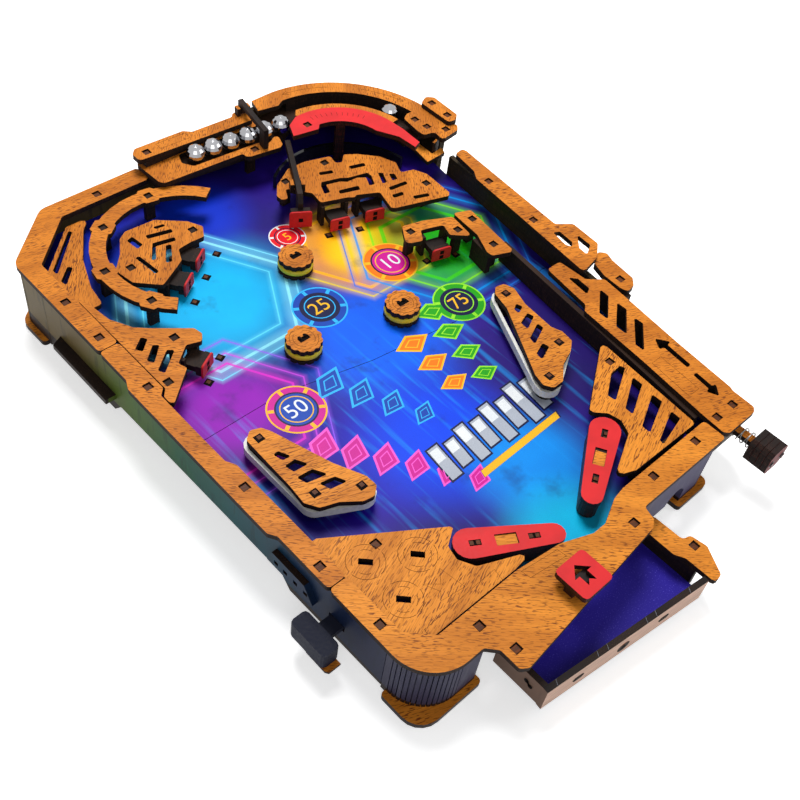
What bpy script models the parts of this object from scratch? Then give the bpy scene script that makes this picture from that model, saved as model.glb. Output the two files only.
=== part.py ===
"""Wooden pinball game: a laser-cut plywood cabinet with plates, walls, balls and moving levers.

Metres, +Z up, +X to the player's right, +Y to the back. The deck's own frame has its origin at
the middle of the cabinet on the playing surface, and the whole deck leans down to the player.
Plans are tables of shares: x is a share of HALF_WIDTH and y a share of HALF_LENGTH.
"""
import math

import bmesh
import bpy
from mathutils import Matrix, Vector

# Driving sizes
HALF_WIDTH = 0.100
HALF_LENGTH = 0.165
PLY = 0.003
GAP = 0.0003
TILT = math.radians(1.2)
DECK_HEIGHT = 0.0245
RIM_HEIGHT = 0.013
TRAY_HEIGHT = 0.017
RAIL_HEIGHT = 0.023
GATE_HEIGHT = 0.034
TAB_HOLE = 0.0042
TAB_WIDTH = 0.0034
POST_WIDTH = 0.0056
BALL_RADIUS = 0.0055
WALL_INSET = 0.0015

# Small sizes
PLATE_CORNER = 0.0020
SLOT_CORNER = 0.0006
TAB_SINK = 0.0008
KERF_WIDTH = 0.0005
KERF_DEPTH = 0.0012
CORNER_RADIUS = 0.0200
BEND_RADIUS = 0.0090

# Levels that follow
FLOOR_TOP = 0.0
MID_TOP = RIM_HEIGHT - GAP
MID_LOW = MID_TOP - PLY
INFILL_LOW = MID_LOW - PLY
RIM_TOP = RIM_HEIGHT + PLY
HIGH_LOW = RIM_TOP + GAP

# Round pieces
PUCK_RADIUS = 0.0095
PUCK_LOBES = 12
PUCK_DEPTH = 0.0008
PUCK_CORE = 0.0075
PUCK_BAND = 0.0088
PUCK_BAND_LOW = 0.0024
PUCK_BAND_HIGH = 0.0054
SPOOL_RADIUS = 0.0050
BAND_INNER = 0.0053
BAND_OUTER = 0.0071
BAND_LOW = 0.0040
BAND_HIGH = 0.0082

# Orbit ring, return rail and arch
ORBIT_SHARE = (-0.238, 0.597)
ORBIT_RADIUS = 0.0440
ORBIT_WIDTH = 0.0085
ORBIT_START = math.radians(37)
ORBIT_END = math.radians(230)
RAIL_SHARE = (0.871, 0.595)
RAIL_OUTER = 0.0700
RAIL_BAND = 0.0600
RAIL_CHANNEL = 0.0480
RAIL_STRIP = 0.0380
RAIL_LEDGE = 0.0450
RED_OUTER = 0.0395
RED_INNER = 0.0260
ARCH_SHARE = (0.840, 0.524)
ARCH_RADIUS = 0.0465
ARCH_WALL = 0.0020
ARCH_HEIGHT = 0.0080

# Flippers
FLIPPER_BIG = 0.0078
FLIPPER_SMALL = 0.0052
FLIPPER_SHARES = {"flipper_left": ((-0.370, -0.762), (-0.040, -0.884)),
                  "flipper_right": ((0.598, -0.742), (0.252, -0.868))}
SHAFT_RADIUS = 0.0020
SHAFT_CLEARANCE = 0.0005
SWING = math.radians(45)

# Side buttons: the travel and the swing set the length of the link between them
BUTTON_LENGTH = 0.0220
BUTTON_HEIGHT = 0.0100
BUTTON_REACH = 0.0090
BUTTON_TRAVEL = 0.0042
BUTTON_LOW = -0.0110
BUTTON_SHARE = -0.670
SLIDER_WIDTH = 0.0080
SLIDER_LOW = -0.0073
LINK_LENGTH = BUTTON_TRAVEL / (2 * math.sin(SWING / 2))
LINK_RADIUS = 0.0016

# Plunger
PLUNGER_SHARE = 1.185
GUIDE_SHARE = -0.962
PLUNGER_LEVEL = 0.0055
ROD_WIDTH = 0.0048
SPRING_RADIUS = 0.0042
SPRING_WIRE = 0.00030
SPRING_CURLS = 18
CURL_POINTS = 9
KNOB_LAYERS = 4
KNOB_RADIUS = 0.0090
KNOB_BOLT = 0.0016

# Front ball tray and reset button
TRAY_FLOOR = -0.0120
TRAY_WALL_LOW = -0.0150
TRAY_WALL_TOP = 0.0
RESET_SHARE = (-0.172, -1.035)
RESET_SIZE = 0.0180
RESET_TRAVEL = 0.0080
RESET_TOP = 0.0240
RESET_NECK = 0.0036
RESET_DEPTH = 0.0050

# Targets
TARGET_WIDTH = 0.0110
TARGET_LOW = 0.0030
TARGET_TOP = 0.0092
TARGET_PIVOT = 0.0068
TARGET_ARM = 0.0036
TARGET_REACH = 0.0065
PIN_RADIUS = 0.0011
PIN_HOLE = 0.0014
CHEEK = 0.0020
LEVER_PIN = 0.0110
LEVER_LEVEL = RIM_TOP + PLY + GAP


def metres(share):
    """A pair of shares as a place in the plan."""
    return (share[0] * HALF_WIDTH, share[1] * HALF_LENGTH)


def plan(shares):
    return [metres(share) for share in shares]


def floor_under(y, rise=0.0):
    """The level, in the leaning deck's frame, of a plane that lies `rise` above the ground."""
    return (rise - DECK_HEIGHT - y * math.sin(TILT)) / math.cos(TILT)


def rounded(points, radius=PLATE_CORNER, steps=2):
    """Turns each corner of a closed outline into a short arc that its edges can hold."""
    out = []
    count = len(points)
    for i, here in enumerate(points):
        before = Vector(points[i - 1][:2]) - Vector(here[:2])
        after = Vector(points[(i + 1) % count][:2]) - Vector(here[:2])
        size = here[2] if len(here) > 2 else radius
        turn = before.angle(after)
        if turn > math.radians(168) or size <= 0:
            out.append(tuple(here[:2]))
            continue
        cut = min(size / math.tan(turn / 2), before.length * 0.45, after.length * 0.45)
        size = cut * math.tan(turn / 2)
        centre = Vector(here[:2]) + (before.normalized() + after.normalized()).normalized() * (
            size / math.sin(turn / 2))
        start = Vector(here[:2]) + before.normalized() * cut - centre
        end = Vector(here[:2]) + after.normalized() * cut - centre
        sweep = math.atan2(start.x * end.y - start.y * end.x, start.dot(end))
        for step in range(steps + 1):
            out.append(tuple(centre + Matrix.Rotation(sweep * step / steps, 2) @ start))
    return out


def arc(centre, radius, start, end, steps):
    return [(centre[0] + radius * math.cos(start + (end - start) * i / steps),
             centre[1] + radius * math.sin(start + (end - start) * i / steps))
            for i in range(steps + 1)]


def circle(centre, radius, steps=16):
    return arc(centre, radius, 0, 2 * math.pi * (steps - 1) / steps, steps - 1)


def ring_band(centre, outer, inner, start, end, steps):
    return arc(centre, outer, start, end, steps) + arc(centre, inner, end, start, steps)


def turned(points, centre, angle):
    spin = Matrix.Rotation(angle, 2)
    return [tuple(Vector(centre) + spin @ Vector(point)) for point in points]


def box(centre, width, depth, angle=0.0):
    w, d = width / 2, depth / 2
    return turned([(-w, -d), (w, -d), (w, d), (-w, d)], centre, angle)


def tab(share, angle=0.0):
    return box(metres(share), TAB_HOLE, TAB_HOLE, angle)


def slot(shares, radius=SLOT_CORNER):
    return rounded(plan(shares), radius, 1)


def strip(start, end, width):
    """The outline of a straight wall between two places."""
    a, b = Vector(start), Vector(end)
    side = Vector((a.y - b.y, b.x - a.x)).normalized() * width / 2
    return [tuple(a + side), tuple(a - side), tuple(b - side), tuple(b + side)]


def belt(centres, radius, steps=4):
    """A band pulled round equal spools that stand counter-clockwise."""
    out = []
    count = len(centres)
    for i, centre in enumerate(centres):
        before = Vector(centre) - Vector(centres[i - 1])
        after = Vector(centres[(i + 1) % count]) - Vector(centre)
        start = math.atan2(-before.x, before.y)
        end = math.atan2(-after.x, after.y)
        if end < start:
            end += 2 * math.pi
        out += arc(centre, radius, start, end, steps)
    return out


def filleted(corners):
    """Samples along an outer face: (place, direction, scored). A corner is (x, y, radius, count)."""
    samples = []
    for i, corner in enumerate(corners):
        here = Vector(corner[:2])
        if i in (0, len(corners) - 1):
            other = Vector(corners[1][:2]) if i == 0 else Vector(corners[-2][:2])
            run = (other - here if i == 0 else here - other).normalized()
            samples.append((here, run, False))
            continue
        size, count = corner[2:]
        before = Vector(corners[i - 1][:2]) - here
        after = Vector(corners[i + 1][:2]) - here
        turn = before.angle(after)
        cut = size / math.tan(turn / 2)
        centre = here + (before.normalized() + after.normalized()).normalized() * (
            size / math.sin(turn / 2))
        start = here + before.normalized() * cut - centre
        end = here + after.normalized() * cut - centre
        sweep = math.atan2(start.x * end.y - start.y * end.x, start.dot(end))
        for step in range(count + 1):
            spin = Matrix.Rotation(sweep * step / count, 2)
            samples.append((centre + spin @ start, spin @ -before.normalized(), True))
    return samples


def scored(samples, side):
    """The plan of one kerf-bent sheet: the saw cuts open on its outer face at the bends.

    `side` is +1 where the sheet's body lies to the right of the path, -1 where to the left.
    """
    outer, inner = [], []
    for point, run, cut in samples:
        inward = Vector((run.y, -run.x)) * side
        if cut:
            half = run * KERF_WIDTH / 2
            outer += [point - half, point - half + inward * KERF_DEPTH,
                      point + half + inward * KERF_DEPTH, point + half]
        else:
            outer.append(point)
        inner.append(point + inward * PLY)
    return [tuple(p) for p in outer + inner[::-1]]


def material(name, colour, roughness=0.5, metallic=0.0):
    finish = bpy.data.materials.new(name)
    finish.use_nodes = True
    shader = finish.node_tree.nodes["Principled BSDF"]
    shader.inputs["Base Color"].default_value = (*colour, 1)
    shader.inputs["Roughness"].default_value = roughness
    shader.inputs["Metallic"].default_value = metallic
    finish.diffuse_color = (*colour, 1)
    return finish


def slab(mesh, outline, low, high, holes=(), frame=None):
    """Adds one flat plate to a mesh: its outline and holes filled, then raised from low to high.

    A level may be a rule of y, for what stands level on the ground under a leaning deck.
    """
    edges, ground = [], []
    for ring in [outline, *holes]:
        verts = [mesh.verts.new((x, y, 0)) for x, y in ring]
        edges += [mesh.edges.new((verts[i - 1], verts[i])) for i in range(len(verts))]
        ground += verts
    filled = bmesh.ops.triangle_fill(mesh, use_beauty=True, edges=edges)
    faces = [item for item in filled["geom"] if isinstance(item, bmesh.types.BMFace)]
    raised = bmesh.ops.extrude_face_region(mesh, geom=faces)
    top = [item for item in raised["geom"] if isinstance(item, bmesh.types.BMVert)]
    for vert in ground:
        vert.co.z = low(vert.co.y) if callable(low) else low
    for vert in top:
        vert.co.z = high(vert.co.y) if callable(high) else high
    if frame:
        bmesh.ops.transform(mesh, matrix=frame, verts=ground + top)


def upright(place, angle):
    """A frame whose plan is a standing sheet: local x runs along `angle`, local y is up."""
    return (Matrix.Translation((place[0], place[1], 0)) @ Matrix.Rotation(angle, 4, "Z")
            @ Matrix.Rotation(math.radians(90), 4, "X"))


class Maker:
    """Makes named pieces on one parent; each has its own material and its own closed bodies."""

    def __init__(self, parent):
        self.parent = parent

    def piece(self, name, finish, pivot=(0, 0, 0), smooth=False):
        return Piece(name, finish, self.parent, Vector(pivot), smooth)


class Piece:
    """A piece in the making: overlapping shapes that become one solid about its own pivot."""

    def __init__(self, name, finish, parent, pivot, smooth):
        self.name, self.finish, self.parent = name, finish, parent
        self.pivot, self.smooth = pivot, smooth
        self.shapes = []

    def plate(self, outline, low, high, holes=(), frame=None):
        mesh = bmesh.new()
        slab(mesh, outline, low, high, holes, frame)
        self.shapes.append(mesh)
        return self

    def sheet(self, profile, place, angle, thickness=PLY, holes=()):
        """A standing sheet: its profile is (along, up), centred on `place`."""
        return self.plate(profile, -thickness / 2, thickness / 2, holes, upright(place, angle))

    def post(self, share, under, angle=0.0, low=GAP):
        """A standing tab: its shoulder holds the plate, its end shows in the square hole."""
        w, t = POST_WIDTH / 2, TAB_WIDTH / 2
        hold = under + GAP
        peak = under + PLY - TAB_SINK
        profile = [(-w, low), (w, low), (w, hold), (t, hold), (t, peak), (-t, peak), (-t, hold),
                   (-w, hold)]
        return self.sheet(profile, metres(share), angle)

    def wall(self, start, end, low, high):
        """A straight standing wall between two places given as shares."""
        return self.plate(strip(metres(start), metres(end), PLY), low, high)

    def cheeks(self, place, angle, low, high, level, width, reach):
        """Two ears that straddle a piece of this width, with a hole for its pin at `level`."""
        side = Vector((-math.sin(angle), math.cos(angle)))
        profile = [(-CHEEK, low), (reach, low), (reach, high), (-CHEEK, high)]
        for sign in (-1, 1):
            offset = side * sign * (width / 2 + 2 * GAP + CHEEK / 2)
            self.sheet(profile, Vector(place[:2]) + offset, angle, CHEEK,
                       [circle((0, level), PIN_HOLE, 10)])
        return self

    def pin(self, place, angle, level, width):
        return self.sheet(circle((0, level), PIN_RADIUS, 10), place, angle,
                          width + 4 * GAP + 2 * CHEEK)

    def ball(self, place, radius=BALL_RADIUS, segments=14, rings=9):
        mesh = bmesh.new()
        bmesh.ops.create_uvsphere(mesh, u_segments=segments, v_segments=rings, radius=radius,
                                  matrix=Matrix.Translation(place))
        self.shapes.append(mesh)
        return self

    def data(self, mesh):
        bmesh.ops.recalc_face_normals(mesh, faces=mesh.faces)
        data = bpy.data.meshes.new(self.name)
        mesh.transform(Matrix.Translation(-self.pivot))
        mesh.to_mesh(data)
        mesh.free()
        return data

    def done(self):
        data = self.data(self.shapes[0])
        for other in self.shapes[1:]:
            data = joined(data, self.data(other))
        data.name = self.name
        if self.smooth:
            data.shade_smooth()
            data.set_sharp_from_angle(angle=math.radians(35))
        thing = bpy.data.objects.new(self.name, data)
        bpy.context.scene.collection.objects.link(thing)
        thing.parent = self.parent
        thing.location = self.pivot
        data.materials.clear()
        data.materials.append(self.finish)
        return thing


def joined(data, other):
    """One solid from two meshes that overlap."""
    body, tool = (bpy.data.objects.new("joint", mesh) for mesh in (data, other))
    for thing in (body, tool):
        bpy.context.scene.collection.objects.link(thing)
    union = body.modifiers.new("union", "BOOLEAN")
    union.operation, union.solver, union.object = "UNION", "EXACT", tool
    result = bpy.data.meshes.new_from_object(
        body.evaluated_get(bpy.context.evaluated_depsgraph_get()))
    for thing in (body, tool):
        bpy.data.objects.remove(thing, do_unlink=True)
    return result


def frame(name, location, rotation=(0, 0, 0), parent=None):
    holder = bpy.data.objects.new(name, None)
    holder.location = location
    holder.rotation_euler = rotation
    holder.parent = parent
    bpy.context.scene.collection.objects.link(holder)
    return holder


# Plans of the cabinet, as shares
LANE_OUTER_SHARES = ((1.26, -0.97), (1.50, 0.44))
LANE_INNER_SHARES = ((1.02, -0.885), (1.19, 0.00))
LANE_JOINT_SHARES = ((1.0935, -0.55), (1.1125, -0.45))
BODY_RIGHT_SHARES = ((1.00, -0.90), (1.19, 0.00), (1.44, 0.45))
SEAM_SHARES = ((-0.40, -0.012), (0.10, -0.078), (0.66, -0.118))

FRAME_REAR_SHARES = ((-1.0, 0.367), (-1.0, 0.825), (-0.68, 1.0), (-0.075, 1.0), (-0.075, 0.93),
                     (-0.62, 0.93), (-0.895, 0.775), (-0.895, 0.367))
FRAME_LEFT_SHARES = ((-1.0, -0.637), (-1.0, -0.440), (-1.025, -0.415), (-1.025, 0.200),
                     (-1.0, 0.232), (-1.0, 0.364), (-0.895, 0.364), (-0.895, 0.145),
                     (-0.93, 0.125), (-0.93, -0.165), (-0.903, -0.195), (-0.903, -0.637))
FRAME_FRONT_SHARES = ((-1.0, -0.640), (-0.903, -0.640), (-0.903, -0.840), (-0.80, -0.903),
                      (-0.33, -0.903), (-0.085, -0.921), (0.075, -0.958), (0.155, -0.958),
                      (0.295, -0.921), (0.37, -0.914), (1.0, -0.914), (1.0, -0.993),
                      (0.365, -0.993), (0.345, -1.035), (0.305, -1.051), (-0.62, -1.108),
                      (-0.655, -1.095), (-0.655, -1.030), (-0.70, -1.0), (-1.0, -1.0))
FRAME_TABS = {"frame_rear": ((-0.943, 0.595), (-0.946, 0.416), (-0.373, 0.962)),
              "frame_left": ((-0.944, 0.175), (-0.949, -0.265), (-0.957, -0.574)),
              "frame_front": ((-0.946, -0.791), (-0.641, -0.951), (-0.599, -1.052),
                              (0.260, -1.007), (0.537, -0.943), (0.864, -0.943))}
INFILL_SHARES = ((-0.885, 0.56), (-0.885, 0.765), (-0.615, 0.920), (-0.48, 0.920),
                 (-0.56, 0.872), (-0.68, 0.760), (-0.76, 0.640), (-0.78, 0.56))
INFILL_SLOTS = (((-0.845, 0.770), (-0.620, 0.900), (-0.610, 0.888), (-0.845, 0.745)),
                ((-0.855, 0.715), (-0.770, 0.760), (-0.755, 0.745), (-0.850, 0.690)))
WEDGE_SHARES = ((-0.892, 0.600), (-0.862, 0.545), (-0.844, 0.459), (-0.785, 0.391),
                (-0.729, 0.360), (-0.557, 0.281), (-0.547, 0.250), (-0.578, 0.225),
                (-0.653, 0.240), (-0.753, 0.194), (-0.735, 0.166), (-0.910, 0.080),
                (-0.923, 0.093), (-0.923, 0.117), (-0.889, 0.140))
WEDGE_SLOTS = (((-0.792, 0.344), (-0.774, 0.326), (-0.838, 0.293), (-0.860, 0.314)),
               ((-0.778, 0.298), (-0.752, 0.286), (-0.836, 0.238), (-0.858, 0.257)),
               ((-0.742, 0.258), (-0.716, 0.243), (-0.836, 0.187), (-0.852, 0.208)))
RIGHT_REAR_SHARES = ((1.465, 0.405), (1.540, 0.411), (1.473, -0.068), (1.559, -0.106),
                     (1.545, -0.223), (1.453, -0.266), (1.303, -0.285), (1.397, 0.260),
                     (1.437, 0.296))
RIGHT_REAR_WINDOWS = (((1.409, -0.094), (1.446, -0.104), (1.436, -0.165), (1.406, -0.181),
                       (1.388, -0.160)),
                      ((1.507, -0.150), (1.500, -0.212), (1.425, -0.236), (1.430, -0.200)))
FLAP_SHARES = ((1.430, -0.272), (1.520, -0.240), (1.554, -0.263), (1.532, -0.300),
               (1.513, -0.395), (1.469, -0.420), (1.408, -0.426), (1.395, -0.399),
               (1.400, -0.330))
LANE_COVER_SHARES = ((1.190, -0.192), (1.290, -0.192), (1.300, -0.300), (1.385, -0.340),
                     (1.370, -0.430), (1.325, -0.662), (1.292, -0.884), (1.282, -0.900),
                     (1.278, -0.978), (1.250, -0.990), (1.036, -0.990), (1.018, -0.975),
                     (1.026, -0.904), (1.073, -0.649), (1.108, -0.395), (1.148, -0.378))
LANE_SLOTS = (((1.231, -0.258), (1.268, -0.284), (1.261, -0.336), (1.216, -0.350)),
              ((1.303, -0.360), (1.300, -0.398), (1.160, -0.466), (1.160, -0.430)),
              ((1.298, -0.435), (1.299, -0.474), (1.155, -0.545), (1.155, -0.502)),
              ((1.285, -0.512), (1.288, -0.547), (1.134, -0.625), (1.134, -0.590)))
LANE_ARROWS = (((1.250, -0.612), (1.300, -0.652), (1.268, -0.655), (1.252, -0.752),
                (1.222, -0.752), (1.238, -0.655), (1.208, -0.650)),
               ((1.232, -0.783), (1.205, -0.783), (1.192, -0.848), (1.165, -0.848),
                (1.196, -0.885), (1.250, -0.848), (1.222, -0.848)))
GUIDE_A_SHARES = ((0.791, 0.248), (0.716, 0.182), (0.737, 0.168), (0.803, 0.154),
                  (0.852, 0.196), (0.985, 0.170), (0.957, 0.121), (1.050, 0.073),
                  (1.078, 0.181), (0.919, 0.227))
GUIDE_B_SHARES = ((1.100, 0.194), (1.203, 0.169), (1.151, -0.054), (1.129, -0.061),
                  (1.025, -0.036), (1.022, -0.013), (1.081, 0.066))
ISLAND_SHARES = ((0.46, 0.655), (0.40, 0.612), (0.40, 0.588), (0.425, 0.580), (0.440, 0.584),
                 (0.475, 0.622), (0.500, 0.612), (0.575, 0.552), (0.560, 0.499),
                 (0.715, 0.466), (0.745, 0.452), (0.765, 0.459), (0.890, 0.422),
                 (0.850, 0.339), (0.870, 0.329), (1.190, 0.268), (1.215, 0.280),
                 (1.225, 0.400), (1.190, 0.445), (1.110, 0.460), (1.150, 0.510),
                 (1.110, 0.570), (1.020, 0.625), (0.950, 0.652), (0.895, 0.622),
                 (0.860, 0.632), (0.875, 0.672), (0.720, 0.700), (0.600, 0.702))
ISLAND_SLOTS = (((0.725, 0.626), (0.800, 0.609), (0.790, 0.593), (0.710, 0.612)),
                ((0.900, 0.592), (0.995, 0.575), (0.985, 0.558), (0.895, 0.575)),
                ((0.655, 0.565), (0.680, 0.580), (0.790, 0.560), (0.830, 0.545), (0.950, 0.527),
                 (0.950, 0.506), (0.915, 0.465), (0.882, 0.470), (0.915, 0.510), (0.870, 0.527),
                 (0.800, 0.530), (0.770, 0.545), (0.685, 0.560), (0.662, 0.522), (0.625, 0.526)),
                ((0.710, 0.512), (0.830, 0.492), (0.815, 0.472), (0.695, 0.496)),
                ((1.000, 0.506), (1.022, 0.495), (0.985, 0.448), (0.955, 0.451)),
                ((1.045, 0.478), (1.072, 0.468), (1.055, 0.440), (1.020, 0.444)),
                ((0.960, 0.424), (1.080, 0.415), (1.070, 0.399), (0.950, 0.408)),
                ((0.930, 0.388), (1.000, 0.379), (0.985, 0.363), (0.920, 0.372)),
                ((1.020, 0.341), (1.110, 0.321), (1.100, 0.306), (1.010, 0.325)))
INNER_SHARES = ((-0.460, 0.755), (-0.406, 0.775), (-0.231, 0.768), (-0.096, 0.700),
                (-0.054, 0.651), (-0.098, 0.609), (-0.180, 0.612), (-0.264, 0.607),
                (-0.300, 0.560), (-0.343, 0.545), (-0.482, 0.502), (-0.592, 0.566),
                (-0.612, 0.640), (-0.526, 0.695))
INNER_SLOTS = (((-0.275, 0.742), (-0.215, 0.735), (-0.205, 0.722), (-0.265, 0.728)),
               ((-0.340, 0.722), (-0.200, 0.700), (-0.210, 0.684), (-0.345, 0.704)),
               ((-0.440, 0.735), (-0.400, 0.742), (-0.390, 0.690), (-0.430, 0.684)),
               ((-0.345, 0.678), (-0.225, 0.662), (-0.235, 0.645), (-0.345, 0.660),
                (-0.400, 0.610), (-0.425, 0.614)),
               ((-0.300, 0.645), (-0.270, 0.640), (-0.345, 0.572), (-0.375, 0.580)),
               ((-0.480, 0.655), (-0.455, 0.650), (-0.440, 0.560), (-0.465, 0.556)))
APRON_LEFT_SHARES = ((-0.898, -0.485), (-0.375, -0.692), (-0.372, -0.700), (-0.455, -0.732),
                     (-0.472, -0.775), (-0.430, -0.822), (-0.190, -0.884), (-0.313, -0.893),
                     (-0.830, -0.893), (-0.898, -0.850))
APRON_RIGHT_SHARES = ((1.036, -0.507), (0.630, -0.665), (0.640, -0.680), (0.690, -0.708),
                      (0.705, -0.750), (0.670, -0.795), (0.420, -0.868), (0.525, -0.893),
                      (0.985, -0.897))
APRON_RIGHT_SLOTS = (((0.905, -0.612), (0.982, -0.608), (0.994, -0.624), (0.785, -0.690),
                      (0.777, -0.662)),
                     ((0.976, -0.663), (0.975, -0.700), (0.782, -0.757), (0.782, -0.728)),
                     ((0.963, -0.744), (0.965, -0.781), (0.758, -0.833), (0.758, -0.803)),
                     ((0.951, -0.822), (0.950, -0.857), (0.750, -0.886), (0.760, -0.868)))
PUCK_STORE_SHARES = ((-0.781, -0.630), (-0.584, -0.699), (-0.780, -0.771))
SLING_SHARES = {
    "sling_left": (((-0.530, -0.446), (-0.718, -0.149), (-0.718, -0.386)),
                   ((-0.770, -0.133), (-0.724, -0.111), (-0.672, -0.123), (-0.648, -0.152),
                    (-0.548, -0.340), (-0.478, -0.430), (-0.475, -0.470), (-0.523, -0.493),
                    (-0.580, -0.487), (-0.667, -0.448), (-0.752, -0.430), (-0.790, -0.392),
                    (-0.780, -0.331)),
                   (((-0.728, -0.217), (-0.698, -0.216), (-0.668, -0.252), (-0.715, -0.248)),
                    ((-0.728, -0.266), (-0.668, -0.266), (-0.635, -0.301), (-0.715, -0.297)),
                    ((-0.727, -0.316), (-0.641, -0.321), (-0.604, -0.361), (-0.712, -0.347)),
                    ((-0.672, -0.368), (-0.590, -0.378), (-0.562, -0.412), (-0.650, -0.402)))),
    "sling_right": (((0.899, -0.174), (0.641, -0.500), (0.857, -0.425)),
                    ((0.848, -0.155), (0.890, -0.132), (0.945, -0.140), (0.963, -0.175),
                     (0.923, -0.245), (0.907, -0.366), (0.930, -0.400), (0.920, -0.445),
                     (0.860, -0.472), (0.762, -0.494), (0.670, -0.540), (0.601, -0.540),
                     (0.572, -0.512), (0.590, -0.470), (0.821, -0.222)),
                    (((0.846, -0.240), (0.885, -0.226), (0.897, -0.248), (0.842, -0.262)),
                     ((0.800, -0.294), (0.882, -0.277), (0.892, -0.300), (0.796, -0.326)),
                     ((0.756, -0.357), (0.868, -0.328), (0.870, -0.352), (0.746, -0.384)),
                     ((0.704, -0.413), (0.784, -0.395), (0.792, -0.419), (0.696, -0.441))))}
TRAY_TOP_SHARES = ((-0.095, 0.960), (-0.095, 1.000), (-0.060, 1.021), (0.250, 1.012),
                   (0.275, 0.999), (0.290, 0.990), (0.560, 0.981), (0.578, 0.996),
                   (0.655, 0.994), (0.683, 0.976), (0.640, 0.927), (-0.055, 0.957))
TRAY_LOW_SHARES = ((-0.085, 0.995), (-0.075, 0.871), (-0.055, 0.855), (0.450, 0.832),
                   (0.445, 0.814), (0.470, 0.804), (0.660, 0.786), (0.688, 0.796),
                   (0.715, 0.840), (0.690, 0.846), (0.640, 0.830), (0.600, 0.826),
                   (0.590, 0.850), (0.160, 0.873), (0.120, 0.910), (0.150, 0.953),
                   (0.720, 0.929), (0.740, 0.985))
TRAY_FLOOR_SHARES = ((-0.070, 0.880), (0.690, 0.828), (0.842, 0.872), (0.842, 0.985),
                     (-0.070, 0.985))
RED_LEFT_SHARES = ((0.750, 0.806), (0.705, 0.751), (0.865, 0.733))
RED_LOW_SHARES = ((1.200, 0.537), (1.210, 0.462), (1.262, 0.474), (1.270, 0.560))
RAIL_END_SHARES = ((1.366, 0.513), (1.363, 0.542), (1.380, 0.626), (1.425, 0.640),
                   (1.480, 0.640), (1.571, 0.600), (1.562, 0.516), (1.605, 0.488),
                   (1.568, 0.464), (1.425, 0.454), (1.438, 0.503))
OUTRIGGER_SHARES = ((1.545, 0.500), (1.545, 0.642), (1.610, 0.660), (1.650, 0.640),
                    (1.640, 0.515), (1.600, 0.495))
BALL_SHARES = ((0.215, 0.908), (0.325, 0.901), (0.437, 0.893), (0.549, 0.886), (0.661, 0.880),
               (0.775, 0.873))
RAIL_BALL_ANGLE = math.radians(19)
TRAY_FRONT_SHARES = ((-0.564, -1.163), (0.400, -1.235))
TRAY_END_SHARES = ((0.385, -1.000), (0.480, -1.000), (0.485, -1.106), (0.530, -1.112),
                   (0.545, -1.165), (0.470, -1.245), (0.415, -1.250), (0.412, -1.150),
                   (0.385, -1.120))
ARROW_SHARES = ((0, 0.62), (0.58, 0.05), (0.27, 0.05), (0.27, -0.55), (0, -0.30),
                (-0.27, -0.55), (-0.27, 0.05), (-0.58, 0.05))
PUCK_SHARES = {"obstacle_rear": (0.219, 0.378), "obstacle_right": (0.436, 0.009),
               "obstacle_left": (-0.137, 0.079)}
TARGET_SHARES = {"target_left_rear": (-0.194, 0.572, 33, MID_LOW),
                 "target_left_front": (-0.350, 0.503, 33, MID_LOW),
                 "target_wedge": (-0.610, 0.195, 28, RIM_HEIGHT),
                 "target_island_left": (0.615, 0.440, -18, RIM_HEIGHT),
                 "target_island_right": (0.825, 0.405, -18, RIM_HEIGHT),
                 "target_right": (0.902, 0.126, -15, RIM_HEIGHT)}
LEVER_SHARES = ((0.470, 0.540), (0.715, 0.790))
GATE_SHARES = ((0.630, 0.976), (0.585, 0.822))



def make_materials():
    return {
        "beech": material("beech_ply", (0.62, 0.27, 0.05), 0.45),
        "char": material("charred_edge", (0.035, 0.018, 0.012), 0.7),
        "brown": material("brown_panel", (0.13, 0.06, 0.03), 0.6),
        "print": material("printed_field", (0.03, 0.12, 0.60), 0.3),
        "purple": material("printed_wall", (0.07, 0.05, 0.20), 0.5),
        "teal": material("printed_side", (0.03, 0.18, 0.22), 0.5),
        "red": material("red_lacquer", (0.75, 0.03, 0.03), 0.35),
        "rubber": material("rubber_band", (0.80, 0.80, 0.78), 0.6),
        "steel": material("steel", (0.72, 0.72, 0.74), 0.15, 1.0),
        "gloss": material("black_gloss", (0.01, 0.01, 0.012), 0.1),
    }


def wall_stations():
    """Faces and ends of the outer walls that several pieces share."""
    return {"left": -HALF_WIDTH + WALL_INSET,
            "back": HALF_LENGTH - WALL_INSET,
            "field_front": metres((0, -0.945))[1],
            "chamfer": metres((-0.675, 0.83)),
            "side_low": metres((0, -0.845))[1],
            "side_high": metres((0, 0.690))[1],
            "slider": metres((0, BUTTON_SHARE))[1]}


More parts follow.
